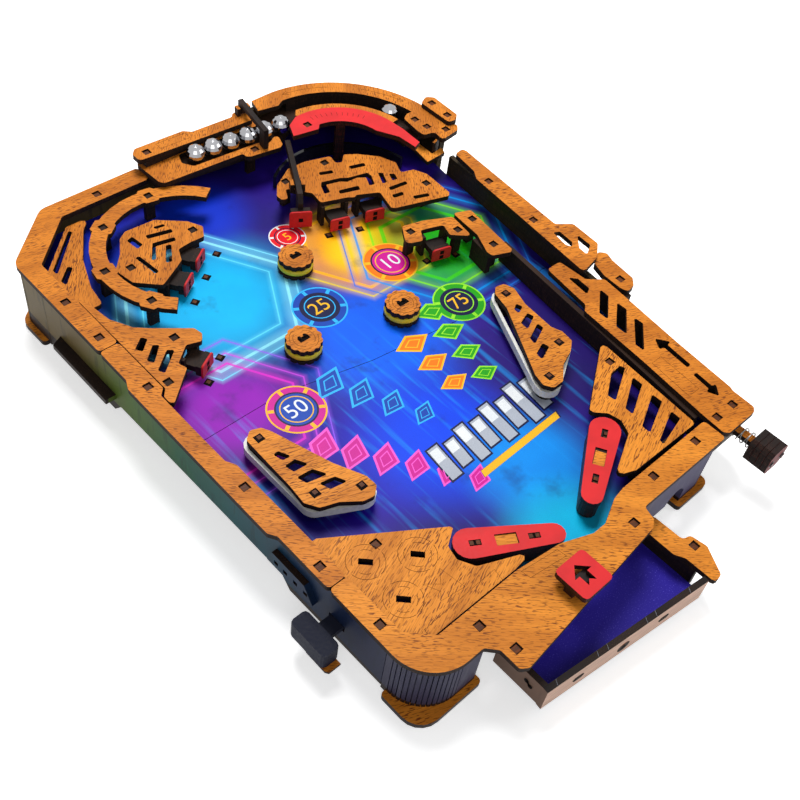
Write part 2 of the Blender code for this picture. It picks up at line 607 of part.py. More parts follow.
def playfield(make, paint, at):
    """Two printed sheets that meet at a seam, with a hole for each flipper shaft."""
    inner_left = at["left"] + PLY + GAP
    inner_back = at["back"] - PLY - 2 * GAP
    front = at["field_front"]
    right_low = Vector(metres(LANE_OUTER_SHARES[0]))
    right_high = Vector(metres(LANE_OUTER_SHARES[1]))
    run = (right_high - right_low).normalized()
    aside = Vector((-run.y, run.x)) * (PLY / 2 + GAP)
    near = right_low + aside
    far = right_high + aside
    chamfer = at["chamfer"]
    seam = plan(SEAM_SHARES)
    split = near + (far - near) * 0.60
    bow = GAP / 2
    centre = metres(RAIL_SHARE)
    arch = arc(centre, RAIL_OUTER - WALL_INSET - PLY - 2 * GAP, math.radians(2),
               math.radians(88), 10)
    rear = [(inner_left, seam[0][1] + bow)] + [(x, y + bow) for x, y in seam]
    rear += [(split.x, split.y + bow), tuple(far)] + arch
    rear += [(metres((0.80, 0))[0], inner_back), (chamfer[0] + PLY, inner_back),
             (inner_left + GAP, chamfer[1] - PLY)]
    make.piece("playfield_rear", paint["print"]).plate(rear, -PLY, FLOOR_TOP).done()
    fore = [(inner_left, at["side_low"]), (at["left"] + CORNER_RADIUS, front)]
    fore += [(near.x, front), (split.x, split.y - bow)]
    fore += [(x, y - bow) for x, y in seam[::-1]] + [(inner_left, seam[0][1] - bow)]
    holes = [circle(metres(shares[0]), SHAFT_RADIUS + SHAFT_CLEARANCE, 12)
             for shares in FLIPPER_SHARES.values()]
    make.piece("playfield_front", paint["print"]).plate(fore, -PLY, FLOOR_TOP, holes).done()


def cabinet(make, paint, at):
    """The walls with their feet, the rim plates and the stacked filling in the rear corner."""
    left, back, chamfer = at["left"], at["back"], at["chamfer"]
    top = RIM_HEIGHT - GAP
    ground = PLY + GAP
    reach = 2 * WALL_INSET

    def stand(y):
        return floor_under(y, PLY / 2)

    def sole(y):
        return floor_under(y)

    def instep(y):
        return floor_under(y, PLY)

    y0, y1 = at["side_low"], at["side_high"]
    arch_low, arch_high = metres((0, -0.45))[1], metres((0, 0.30))[1]
    lift = PLY + GAP + 0.28 * DECK_HEIGHT
    profile = [(y0, floor_under(y0, ground)), (arch_low - 2 * PLY, floor_under(arch_low, ground)),
               (arch_low, floor_under(arch_low, lift)), (arch_high, floor_under(arch_high, lift)),
               (arch_high + 2 * PLY, floor_under(arch_high, ground)),
               (y1, floor_under(y1, ground)), (y1, top), (y0, top)]
    passage = box((at["slider"], SLIDER_LOW + PLY / 2), SLIDER_WIDTH + 4 * SHAFT_CLEARANCE,
                  PLY + 2 * SHAFT_CLEARANCE)
    face = Matrix(((0, 0, 1, left), (1, 0, 0, 0), (0, 1, 0, 0), (0, 0, 0, 1)))
    side = make.piece("side_wall_left", paint["teal"]).plate(profile, 0, PLY, [passage], face)
    low, high = metres((0, -0.595))[1], metres((0, -0.41))[1]
    profile = [(low, -2 * PLY), (high, -2 * PLY), (high - PLY, PLY), (low + 2 * PLY, PLY)]
    holes = [box((low + (high - low) * share, -0.7 * PLY), PLY * 0.9, PLY * 0.8)
             for share in (0.16, 0.38, 0.60, 0.80)]
    side.plate(profile, -PLY, GAP, holes, face)
    low, high = metres((0, 0.32))[1], metres((0, 0.62))[1]
    side.plate([(left + GAP, low), (left + GAP, high), (left - 2 * PLY, high - PLY),
                (left - 2 * PLY, low)], -4 * PLY, -3 * PLY)
    side.done()

    corner = [(left, y0 - GAP), (left, -back, CORNER_RADIUS, 14), (metres((-0.665, 0))[0], -back)]
    out = left - reach
    sole_plan = rounded([(out, y0 - PLY), (out, -back - reach, CORNER_RADIUS),
                         (metres((-0.645, 0))[0], -back - reach),
                         (metres((-0.645, 0))[0], -back + 2 * reach),
                         (out + 3 * reach, -back + 4 * reach, CORNER_RADIUS / 2),
                         (out + 3 * reach, y0 - PLY)], PLATE_CORNER, 5)
    make.piece("corner_wall_front_left", paint["purple"]).plate(
        scored(filleted(corner), -1), stand, top).plate(sole_plan, sole, instep).done()

    corner = [(left, y1 + GAP), (left, chamfer[1], BEND_RADIUS, 6),
              (chamfer[0], back, BEND_RADIUS, 6), (metres((0.66, 0))[0], back)]
    sole_plan = rounded([(out, y1 + PLY), (out, chamfer[1], BEND_RADIUS),
                         (chamfer[0], back + reach, BEND_RADIUS),
                         (metres((-0.42, 0))[0], back + reach),
                         (metres((-0.42, 0))[0], back - 2 * reach),
                         (chamfer[0] + 3 * reach, back - 2 * reach),
                         (out + 3 * reach, chamfer[1] - 3 * reach),
                         (out + 3 * reach, y1 + PLY)], PLATE_CORNER, 3)
    make.piece("back_wall", paint["teal"]).plate(
        scored(filleted(corner), 1), stand, top).plate(sole_plan, sole, instep).done()

    edge = metres(BODY_RIGHT_SHARES[0])[0] - WALL_INSET
    arch_x = [metres((share, 0))[0] for share in (0.40, 0.635, 0.79)]
    end_y = at["field_front"] - GAP
    corner = [(arch_x[2], -back), (edge, -back, BEND_RADIUS * 0.7, 7), (edge, end_y)]
    low = -DECK_HEIGHT * 0.40
    middle, half = (arch_x[1] + arch_x[2]) / 2, (arch_x[2] - arch_x[1]) / 2
    profile = [(arch_x[0], low)] + arc((middle, low), half * 0.9, math.pi, math.radians(20), 6)
    profile += [(arch_x[2] + PLY, low), (arch_x[2] + PLY, top), (arch_x[0], top)]
    sole_plan = rounded([(arch_x[2] - PLY, -back - reach),
                         (edge + reach, -back - reach, BEND_RADIUS),
                         (edge + reach, end_y), (edge - 2 * reach, end_y),
                         (arch_x[2] - PLY, -back + 2 * reach)], PLATE_CORNER, 4)
    front = make.piece("front_wall", paint["purple"])
    front.plate(scored(filleted(corner), -1), stand, top).plate(sole_plan, sole, instep)
    front.sheet(profile, (0, -back + PLY / 2), 0).done()

    under = -PLY - GAP
    start, bend, end = (Vector(metres(share)) for share in BODY_RIGHT_SHARES)
    start = Vector((edge - PLY / 2, end_y + 2 * GAP))
    run = bend - start
    length = run.length + PLY / 2
    along = (at["slider"] - start.y) * run.length / run.y
    half = SLIDER_WIDTH / 2 + 2 * SHAFT_CLEARANCE
    notch = SLIDER_LOW - SHAFT_CLEARANCE
    profile = [(0, floor_under(start.y, GAP)), (length, floor_under(bend.y, GAP)),
               (length, under), (along + half, under), (along + half, notch),
               (along - half, notch), (along - half, under), (0, under)]
    wall = make.piece("side_wall_right", paint["brown"])
    wall.sheet(profile, start, math.atan2(run.y, run.x))
    wall.plate(strip(bend, end, PLY), lambda y: floor_under(y, 2 * GAP), under - GAP).done()
    centre = metres(RAIL_SHARE)
    bent = [(Vector(centre) + Vector((math.cos(a), math.sin(a))) * (RAIL_OUTER - WALL_INSET),
             Vector((-math.sin(a), math.cos(a))), True)
            for a in (math.radians(-13 + 103 * i / 22) for i in range(23))]
    lead = Vector((metres((0.67, 0))[0], bent[-1][0].y))
    bent.append((lead, Vector((-1, 0)), False))
    sole_plan = ring_band(centre, RAIL_OUTER + WALL_INSET,
                          RAIL_OUTER - WALL_INSET - PLY - reach, math.radians(-13),
                          math.radians(88), 14)
    make.piece("corner_wall_rear_right", paint["brown"]).plate(
        scored(bent, -1), stand, RAIL_HEIGHT - GAP).plate(sole_plan, sole, instep).done()

    rim = {"frame_rear": FRAME_REAR_SHARES, "frame_left": FRAME_LEFT_SHARES,
           "frame_front": FRAME_FRONT_SHARES}
    for name, shares in rim.items():
        outline = plan(shares)
        holes = [tab(share) for share in FRAME_TABS[name]]
        if name == "frame_front":
            round_to = CORNER_RADIUS + WALL_INSET
            outline[-1:] = arc(Vector(outline[-1]) + Vector((round_to, round_to)), round_to,
                               -math.pi / 2, -math.pi, 12)
            place = Vector(metres(RESET_SHARE))
            holes.append(box(place + Vector((0, RESET_TRAVEL / 2)), RESET_NECK + 4 * GAP,
                             RESET_DEPTH + RESET_TRAVEL + 4 * GAP))
        if name == "frame_rear":
            outline[1] = (*outline[1], BEND_RADIUS)
            outline[2] = (*outline[2], BEND_RADIUS)
        make.piece(name, paint["beech"]).plate(
            rounded(outline, PLATE_CORNER, 3), RIM_HEIGHT, RIM_TOP, holes).done()
    make.piece("corner_infill", paint["beech"]).plate(
        rounded(plan(INFILL_SHARES)), INFILL_LOW, INFILL_LOW + PLY,
        [slot(shares) for shares in INFILL_SLOTS]).wall(
            (-0.745, 0.700), (-0.615, 0.858), GAP, INFILL_LOW + GAP).done()


def furniture(make, paint):
    """Plates that stand over the field, each with the posts, walls and ears that carry it."""
    beech = paint["beech"]
    wedge = carried(make, beech, "wedge_plate", WEDGE_SHARES, WEDGE_SLOTS,
                    ((-0.667, 0.286), (-0.855, 0.155)), RIM_HEIGHT)
    wedge.wall((-0.800, 0.395), (-0.690, 0.325), GAP, RIM_HEIGHT + GAP)
    inner = carried(make, beech, "orbit_inner_plate", INNER_SHARES, INNER_SLOTS,
                    ((-0.114, 0.657), (-0.537, 0.625)), MID_LOW)
    island = carried(make, beech, "island_plate", ISLAND_SHARES, ISLAND_SLOTS,
                     ((0.810, 0.656), (1.165, 0.365), (0.520, 0.655)), RIM_HEIGHT)
    near = carried(make, beech, "guide_plate_inner", GUIDE_A_SHARES, (),
                   ((0.800, 0.212), (1.025, 0.125)), RIM_HEIGHT)
    far = carried(make, beech, "guide_plate_outer", GUIDE_B_SHARES, (),
                  ((1.157, 0.135), (1.100, 0.002)), RIM_HEIGHT)
    far.wall((1.045, -0.020), (1.072, 0.070), GAP, RIM_HEIGHT + GAP).done()
    hosts = {"target_left_rear": inner, "target_left_front": inner, "target_wedge": wedge,
             "target_island_left": island, "target_island_right": island, "target_right": near}
    for name, (sx, sy, degrees, under) in TARGET_SHARES.items():
        angle = math.radians(degrees)
        pin, back_angle = target_pin((sx, sy), angle)
        hosts[name].cheeks(pin, back_angle, GAP, under + GAP, TARGET_PIVOT, TARGET_WIDTH,
                           2 * CHEEK)
    foot, head = (Vector(metres(share)) for share in LEVER_SHARES)
    along = (head - foot).normalized()
    island.cheeks(foot + along * LEVER_PIN, math.atan2(along.y, along.x), RIM_TOP - GAP,
                  LEVER_LEVEL + PIN_HOLE + GAP, LEVER_LEVEL, PLY, PLY)
    for part in (wedge, inner, island, near):
        part.done()

    centre = metres(ORBIT_SHARE)
    outline = ring_band(centre, ORBIT_RADIUS + ORBIT_WIDTH / 2, ORBIT_RADIUS - ORBIT_WIDTH / 2,
                        ORBIT_START, ORBIT_END, 22)
    places = []
    for degrees in (80, 126, 171, 213):
        angle = math.radians(degrees)
        places.append(((centre[0] + ORBIT_RADIUS * math.cos(angle)) / HALF_WIDTH,
                       (centre[1] + ORBIT_RADIUS * math.sin(angle)) / HALF_LENGTH))
    ring = make.piece("orbit_ring", beech).plate(
        outline, RIM_HEIGHT, RIM_TOP, [tab(share) for share in places])
    for share in places:
        ring.post(share, RIM_HEIGHT)
    ring.done()

    stores = [box(metres(s), TAB_HOLE * 1.5, PLY, math.radians(-45)) for s in PUCK_STORE_SHARES]
    make.piece("apron_left", beech).plate(
        rounded(plan(APRON_LEFT_SHARES)), MID_LOW, MID_TOP, stores + [tab((-0.687, -0.606))]).wall(
            (-0.854, -0.540), (-0.469, -0.692), GAP, MID_LOW + GAP).wall(
                (-0.800, -0.875), (-0.350, -0.878), GAP, MID_LOW + GAP).done()
    make.piece("apron_right", beech).plate(
        rounded(plan(APRON_RIGHT_SHARES)), MID_LOW, MID_TOP,
        [slot(s) for s in APRON_RIGHT_SLOTS] + [tab((0.965, -0.577))]).wall(
            (0.997, -0.563), (0.742, -0.662), GAP, MID_LOW + GAP).wall(
                (0.560, -0.878), (0.940, -0.882), GAP, MID_LOW + GAP).done()

    for name, (centres, outline, slots) in SLING_SHARES.items():
        places = plan(centres)
        sling = make.piece(name, beech).plate(
            rounded(plan(outline)), MID_LOW, MID_TOP, [slot(s) for s in slots])
        for place in places:
            sling.plate(circle(place, SPOOL_RADIUS, 14), GAP, MID_LOW + GAP)
        sling.done()
        a, b, c = (Vector(place) for place in places)
        turn = places if (b - a).cross(c - b) > 0 else places[::-1]
        make.piece(name + "_band", paint["rubber"], smooth=True).plate(
            belt(turn, BAND_OUTER, 7), BAND_LOW, BAND_HIGH, [belt(turn, BAND_INNER, 7)]).done()

    for name, share in PUCK_SHARES.items():
        place = metres(share)
        lobes = []
        for i in range(PUCK_LOBES * 3):
            size = PUCK_RADIUS - (PUCK_DEPTH if i % 3 == 0 else 0)
            turn = 2 * math.pi * i / (PUCK_LOBES * 3)
            lobes.append((place[0] + size * math.cos(turn), place[1] + size * math.sin(turn)))
        make.piece(name, beech).plate(
            lobes, INFILL_LOW, INFILL_LOW + PLY, [box(place, TAB_HOLE * 1.5, PLY)]).plate(
                circle(place, PUCK_CORE), GAP, INFILL_LOW + GAP).plate(
                    circle(place, PUCK_BAND), PUCK_BAND_LOW, PUCK_BAND_HIGH).done()
    make.piece("arch_wall", paint["gloss"], smooth=True).plate(
        ring_band(metres(ARCH_SHARE), ARCH_RADIUS, ARCH_RADIUS - ARCH_WALL, math.radians(8),
                  math.radians(128), 20), GAP, ARCH_HEIGHT).done()


def carried(make, finish, name, outline, slots, tabs, under):
    """A slotted plate on posts; more can be joined to it before it is done."""
    part = make.piece(name, finish).plate(
        rounded(plan(outline), PLATE_CORNER * 0.75), under, under + PLY,
        [slot(s) for s in slots] + [tab(s) for s in tabs])
    for share in tabs:
        part.post(share, under)
    return part


def target_pin(share, angle):
    """Where a target's pin lies behind its face, and the direction that points back."""
    back = Vector((-math.sin(angle), math.cos(angle)))
    return Vector(metres(share)) + back * (PLY / 2 + TARGET_REACH), angle + math.pi / 2


def launch_lane(make, paint, at):
    """The plunger lane on the right, with its walls, covers and the raised plate behind it."""
    top = RIM_HEIGHT - GAP
    start, end = (Vector(metres(share)) for share in LANE_OUTER_SHARES)
    run = end - start
    angle = math.atan2(run.y, run.x)
    along = (at["slider"] - start.y) * run.length / run.y
    half = SLIDER_WIDTH / 2 + 2 * SHAFT_CLEARANCE
    notch = SLIDER_LOW + PLY + SHAFT_CLEARANCE
    profile = [(0, -2 * PLY), (along - half, -2 * PLY), (along - half, notch),
               (along + half, notch), (along + half, -2 * PLY), (run.length, -2 * PLY),
               (run.length, top), (0, top)]
    wall = make.piece("lane_outer_wall", paint["brown"]).sheet(profile, start, angle)
    ends = [metres((share, 0))[0] for share in (1.015, 1.260)]
    profile = [(ends[0], -PLY), (ends[1], -PLY), (ends[1], top - GAP), (ends[0], top - GAP)]
    hole = circle((metres((PLUNGER_SHARE, 0))[0], PLUNGER_LEVEL), SPRING_RADIUS * 0.75, 12)
    wall.sheet(profile, (0, metres((0, GUIDE_SHARE))[1]), 0, PLY, [hole]).done()
    beech = paint["beech"]
    notches = ((1.205, -0.930), (1.075, -0.930))
    make.piece("lane_cover", beech).plate(
        rounded(plan(LANE_COVER_SHARES)), RIM_HEIGHT, RIM_TOP,
        [slot(s) for s in LANE_SLOTS + LANE_ARROWS] + [tab(s) for s in notches]).wall(
            *LANE_INNER_SHARES, GAP, top).plate(
                strip(*plan(LANE_JOINT_SHARES), PLY / 2), MID_LOW, RIM_HEIGHT + GAP).done()
    rear_tabs = ((1.443, 0.227), (1.400, -0.009))
    rear = make.piece("right_rear_plate", beech).plate(
        rounded(plan(RIGHT_REAR_SHARES)), HIGH_LOW, HIGH_LOW + PLY,
        [slot(s) for s in RIGHT_REAR_WINDOWS] + [tab(s) for s in rear_tabs])
    rear.plate(rounded(plan(FLAP_SHARES)), RIM_HEIGHT, HIGH_LOW + GAP, [tab((1.452, -0.372))])
    for share in rear_tabs:
        y = metres(share)[1]
        wall_x = start.x + run.x * (y - start.y) / run.y
        rear.plate(box((wall_x, y), 2 * POST_WIDTH, PLY, angle), RIM_HEIGHT, HIGH_LOW + GAP)
    place = metres((1.412, -0.398))
    rear.plate(box(place, 2 * POST_WIDTH, POST_WIDTH, angle), MID_LOW - PLY, RIM_HEIGHT + GAP)
    rear.done()


def bonus_works(make, paint):
    """The ball tray over the back edge, the return rail round the corner, the gate and lever."""
    beech = paint["beech"]
    top = TRAY_HEIGHT + PLY
    make.piece("tray_low_plate", beech).plate(
        rounded(plan(TRAY_LOW_SHARES)), TRAY_HEIGHT, top, [tab((0.530, 0.830))]).done()
    rear, fore = (Vector(metres(share)) for share in GATE_SHARES)
    along = fore - rear
    angle = math.atan2(along.y, along.x)
    reach = along.length
    leg = PLY * 0.9
    level = RAIL_HEIGHT + PLY + 2 * GAP + leg
    profile = arc((0, level), leg, -math.pi, 0, 6)
    profile += [(leg, GATE_HEIGHT - PLY), (reach - leg, GATE_HEIGHT - PLY * 1.3),
                (reach - leg, top + GAP), (reach + leg, top + GAP),
                (reach + leg, GATE_HEIGHT - PLY * 0.4), (-leg, GATE_HEIGHT)]
    make.piece("ball_gate", paint["char"], pivot=(rear.x, rear.y, level)).sheet(
        profile, rear, angle).pin(rear, angle, level, PLY).done()
    back = HALF_LENGTH - WALL_INSET
    ends = [metres((share, 0))[0] for share in (-0.060, 0.600)]
    make.piece("tray_top_plate", beech).plate(
        rounded(plan(TRAY_TOP_SHARES)), RAIL_HEIGHT, RAIL_HEIGHT + PLY, [tab((-0.02, 0.985))]).plate(
            [(ends[0], back - 2 * PLY), (ends[1], back - 2 * PLY), (ends[1], back - PLY),
             (ends[0], back - PLY)], top + GAP, RAIL_HEIGHT + GAP).cheeks(
                 rear, angle, RAIL_HEIGHT + PLY - GAP, level + PIN_HOLE + GAP, level, PLY,
                 CHEEK).done()

    centre = metres(RAIL_SHARE)
    rail = make.piece("return_rail", paint["char"])
    rail.plate(plan(TRAY_FLOOR_SHARES), RIM_HEIGHT, TRAY_HEIGHT - GAP)
    for share in ((0.05, 0.900), (0.540, 0.865)):
        rail.plate(box(metres(share), POST_WIDTH, PLY), GAP, RIM_HEIGHT + GAP)
    wall = RAIL_OUTER - WALL_INSET - PLY - 2 * GAP
    spans = ((wall, RAIL_LEDGE, -4, 93, RIM_HEIGHT, TRAY_HEIGHT - GAP),
             (wall, RAIL_BAND + GAP, -3, 84, TRAY_HEIGHT - 2 * GAP, RAIL_HEIGHT + GAP),
             (RAIL_CHANNEL - GAP, RAIL_LEDGE, 2, 78, TRAY_HEIGHT - 2 * GAP, RAIL_HEIGHT + GAP))
    for outer, inner, first, last, low, high in spans:
        rail.plate(ring_band(centre, outer, inner, math.radians(first), math.radians(last), 14),
                   low, high)
    band = arc(centre, RAIL_OUTER, 0, math.radians(94), 18)
    band += plan(((0.750, 1.017), (0.720, 0.957), (0.850, 0.942)))
    rail.plate(band + arc(centre, RAIL_BAND, math.radians(87), 0, 16),
               RAIL_HEIGHT, RAIL_HEIGHT + PLY)
    rail.plate(rounded(plan(RAIL_END_SHARES)), RAIL_HEIGHT, RAIL_HEIGHT + PLY,
               [tab((1.430, 0.600)), tab((1.440, 0.544)), tab((1.515, 0.493))])
    lane = arc(centre, RAIL_CHANNEL, math.radians(8), math.radians(86), 16)
    lane += plan(((0.870, 0.862),))
    rail.plate(lane + arc(centre, RAIL_STRIP, math.radians(86), math.radians(8), 14),
               RAIL_HEIGHT, RAIL_HEIGHT + PLY)
    over = RAIL_HEIGHT + PLY
    rail.plate(rounded(plan(OUTRIGGER_SHARES)), over - GAP, over + PLY,
               [tab((1.598, 0.620)), tab((1.590, 0.535))])
    rail.done()
    over += GAP
    red = arc(centre, RED_OUTER, 0, math.radians(96), 16) + plan(RED_LEFT_SHARES)
    red += arc(centre, RED_INNER, math.radians(84), math.radians(6), 12) + plan(RED_LOW_SHARES)
    half = POST_WIDTH / 2
    make.piece("rail_red_plate", paint["red"]).plate(
        red, over, over + PLY, [tab((0.840, 0.775))]).sheet(
            [(-half, GAP), (half, GAP), (half, over + GAP), (-half, over + GAP)],
            metres((1.035, 0.735)), math.radians(-25)).done()

    foot, head = (Vector(metres(share)) for share in LEVER_SHARES)
    along = head - foot
    angle = math.atan2(along.y, along.x)
    reach = along.length
    pin = foot + along.normalized() * LEVER_PIN
    level = LEVER_LEVEL
    profile = [(-PLY / 2, TARGET_LOW + PLY), (2 * PLY, TARGET_LOW + PLY),
               (2 * PLY, RIM_TOP + 2 * GAP), (LEVER_PIN + PLY, RIM_TOP + 2 * GAP),
               (reach, level), (reach, level + PLY), (LEVER_PIN + 2 * PLY, level + PLY),
               (LEVER_PIN, level + PLY), (PLY / 2, level + PLY / 2), (-PLY / 2, RIM_TOP),
               (-PLY / 2, TARGET_TOP)]
    width = TARGET_WIDTH / 2
    face = [(-width, TARGET_LOW), (width, TARGET_LOW), (width, TARGET_TOP + PLY),
            (-width, TARGET_TOP + PLY)]
    make.piece("bonus_lever", paint["char"], pivot=(pin.x, pin.y, level)).sheet(
        profile, foot, angle).pin(pin, angle, level, PLY).sheet(
            face, foot - along.normalized() * PLY / 2, angle - math.pi / 2).done()

    level = TRAY_HEIGHT + BALL_RADIUS
    places = plan(BALL_SHARES)
    middle = (RAIL_BAND + RAIL_CHANNEL) / 2
    places.append((centre[0] + middle * math.cos(RAIL_BALL_ANGLE),
                   centre[1] + middle * math.sin(RAIL_BALL_ANGLE)))
    for number, place in enumerate(places, 1):
        make.piece("ball_" + str(number), paint["steel"], (*place, level), True).ball(
            (*place, level)).done()


def plunger(make, paint):
    """The launch rod with its knob of notched plates, and the spring on the rod."""
    x, z = metres((PLUNGER_SHARE, 0))[0], PLUNGER_LEVEL
    guide = metres((0, GUIDE_SHARE))[1]
    tail, knob = metres((0, -0.40))[1], metres((0, -1.045))[1]
    half = ROD_WIDTH / 2
    outline = [(-half, knob - PLY), (half, knob - PLY), (half, tail - PLY),
               (ROD_WIDTH, tail - PLY), (ROD_WIDTH, tail), (-ROD_WIDTH, tail),
               (-ROD_WIDTH, tail - PLY), (-half, tail - PLY)]
    rod = make.piece("plunger", paint["beech"], pivot=(x, guide, z))
    rod.plate([(x + dx, y) for dx, y in outline], z - PLY / 2, z + PLY / 2)
    lobes = []
    for i in range(16):
        size = KNOB_RADIUS * (0.86 if i % 4 in (0, 3) else 1.0)
        turn = 2 * math.pi * (i + 0.5) / 16
        lobes.append((size * math.cos(turn), size * math.sin(turn) + z))
    step = PLY + GAP
    for layer in range(KNOB_LAYERS):
        rod.sheet(lobes, (x, knob - PLY / 2 - layer * step), 0)
    core = circle((0, z), KNOB_RADIUS * 0.8, 14)
    rod.sheet(core, (x, knob - KNOB_LAYERS * step / 2), 0, KNOB_LAYERS * step - PLY)
    face = knob - (KNOB_LAYERS - 1) * step - PLY
    for sign in (-1, 1):
        place = (sign * KNOB_RADIUS / 2, z)
        rod.sheet(circle(place, KNOB_BOLT, 10), (x, face), 0, KNOB_BOLT)
    rod.done()
    first = guide + PLY / 2 + GAP
    coil("plunger_spring", make.parent, paint["steel"], (x, first, z), tail - PLY - GAP - first)


def coil(name, parent, finish, start, length):
    """A spring round the rod, along +Y from `start`: one unbroken wire with straight ends."""
    wire = SPRING_WIRE
    run = length - 4 * wire
    points = [Vector((SPRING_RADIUS, 0, 0)), Vector((SPRING_RADIUS, 2 * wire, 0))]
    total = SPRING_CURLS * CURL_POINTS
    for i in range(1, total):
        angle = 2 * math.pi * i / CURL_POINTS
        points.append(Vector((SPRING_RADIUS * math.cos(angle), 2 * wire + run * i / total,
                              SPRING_RADIUS * math.sin(angle))))
    points += [Vector((SPRING_RADIUS, length - 2 * wire, 0)), Vector((SPRING_RADIUS, length, 0))]
    least = min((points[i] - points[j]).length for i in range(len(points))
                for j in range(i + CURL_POINTS // 2, len(points))) - 2 * wire
    print(name, "least gap to itself", round(least * 1000, 2), "mm")
    data = bpy.data.curves.new(name, "CURVE")
    data.dimensions = "3D"
    data.bevel_depth = wire
    data.bevel_resolution = 1
    data.use_fill_caps = True
    spline = data.splines.new("POLY")
    spline.points.add(len(points) - 1)
    for place, point in zip(spline.points, points):
        place.co = (*point, 1)
    thing = bpy.data.objects.new(name, data)
    thing.parent = parent
    thing.location = start
    data.materials.append(finish)
    bpy.context.scene.collection.objects.link(thing)


def front_tray(make, paint):
    """The ball tray before the cabinet, its walls, and the reset button over it."""
    left, right = (Vector(metres(share)) for share in TRAY_FRONT_SHARES)
    run = (right - left).normalized()
    inward = Vector((-run.y, run.x))
    rear = WALL_INSET - HALF_LENGTH - GAP
    end_x = metres((0.425, 0))[0]
    tray = make.piece("ball_tray", paint["brown"])
    tray.plate([tuple(left), tuple(right), tuple(right + inward * PLY),
                tuple(left + inward * PLY)], TRAY_WALL_LOW, TRAY_WALL_TOP)
    start = left + inward * PLY / 2 + run * GAP
    tray.plate([tuple(start), tuple(start + run * PLY), (start.x + PLY, rear), (start.x, rear)],
               TRAY_WALL_LOW + GAP, TRAY_WALL_TOP - GAP)
    a = start + run * PLY / 2
    b = Vector((end_x - PLY / 2 - GAP, 0))
    b.y = a.y + (b.x - a.x) * run.y / run.x
    tray.plate([tuple(a), tuple(b), (b.x, rear - GAP), (a.x, rear - GAP)],
               TRAY_FLOOR - PLY + GAP, TRAY_FLOOR)
    tray.done()
    make.piece("tray_end_plate", paint["beech"]).plate(
        rounded(plan(TRAY_END_SHARES)), -PLY, 0, [tab((0.500, -1.140))]).plate(
            strip((end_x, rear), (end_x, b.y + 2 * PLY), PLY), TRAY_FLOOR - PLY,
            -PLY + GAP).done()

    place = metres(RESET_SHARE)
    size = RESET_SIZE / 2
    reset = make.piece("reset_button", paint["red"], pivot=(*place, RESET_TOP))
    arrow = [(x * size + place[0], y * size + place[1]) for x, y in ARROW_SHARES]
    reset.plate(rounded(box(place, RESET_SIZE, RESET_SIZE)), RESET_TOP - PLY, RESET_TOP, [arrow])
    neck, wide = RESET_NECK / 2, RESET_SIZE * 0.45
    foot, eave = RIM_HEIGHT - PLY, RIM_HEIGHT - GAP
    base, brim = RIM_TOP + GAP, RESET_TOP - PLY + GAP
    reset.sheet([(-2 * neck, foot), (2 * neck, foot), (2 * neck, eave), (neck, eave), (neck, base),
                 (wide, base), (wide, brim), (-wide, brim), (-wide, base), (-neck, base),
                 (-neck, eave), (-2 * neck, eave)], place, 0, RESET_DEPTH)
    reset.done()


def flippers(make, paint):
    """Two flippers on upright shafts; below the field a slider pushes each shaft's link."""
    for name, shares in FLIPPER_SHARES.items():
        pivot, tip = (Vector(metres(share)) for share in shares)
        along = tip - pivot
        angle = math.atan2(along.y, along.x)
        reach = along.length
        lean = math.asin((FLIPPER_BIG - FLIPPER_SMALL) / reach)

        def outline(inset):
            big, small = FLIPPER_BIG - inset, FLIPPER_SMALL - inset
            ring = arc((0, 0), big, math.pi / 2 - lean, math.pi * 1.5 + lean, 9)
            return ring + arc((reach, 0), small, lean - math.pi / 2, math.pi / 2 - lean, 7)

        half = FLIPPER_SMALL * 0.55
        window = [(reach * 0.30, -half), (reach * 0.56, -half), (reach * 0.56, half),
                  (reach * 0.30, half)]
        tabs = [box((share * reach, 0), TAB_HOLE * 1.3, PLY) for share in (0.06, 0.76)]
        holes = [turned(ring, pivot, angle) for ring in (window, *tabs)]
        flipper = make.piece(name, paint["red"], pivot=(pivot.x, pivot.y, 0))
        flipper.plate(turned(outline(0), pivot, angle), MID_LOW, MID_TOP, holes)
        flipper.plate(turned(outline(PLATE_CORNER / 4), pivot, angle), PLY / 3,
                      MID_LOW + PLY - TAB_SINK)
        flipper.plate(circle(pivot, SHAFT_RADIUS, 12), SLIDER_LOW - GAP, PLY)
        side = 1 if name == "flipper_left" else -1
        link = Matrix.Rotation(-side * SWING / 2, 2) @ Vector((0, -LINK_LENGTH))
        down = math.atan2(link.y, link.x)
        eye = SHAFT_RADIUS * 1.45
        shape = arc(pivot, eye, down + math.pi / 2, down + math.pi * 1.5, 7)
        shape += arc(pivot + link, LINK_RADIUS, down - math.pi / 2, down + math.pi / 2, 5)
        flipper.plate(shape, SLIDER_LOW, SLIDER_LOW + PLY)
        flipper.done()


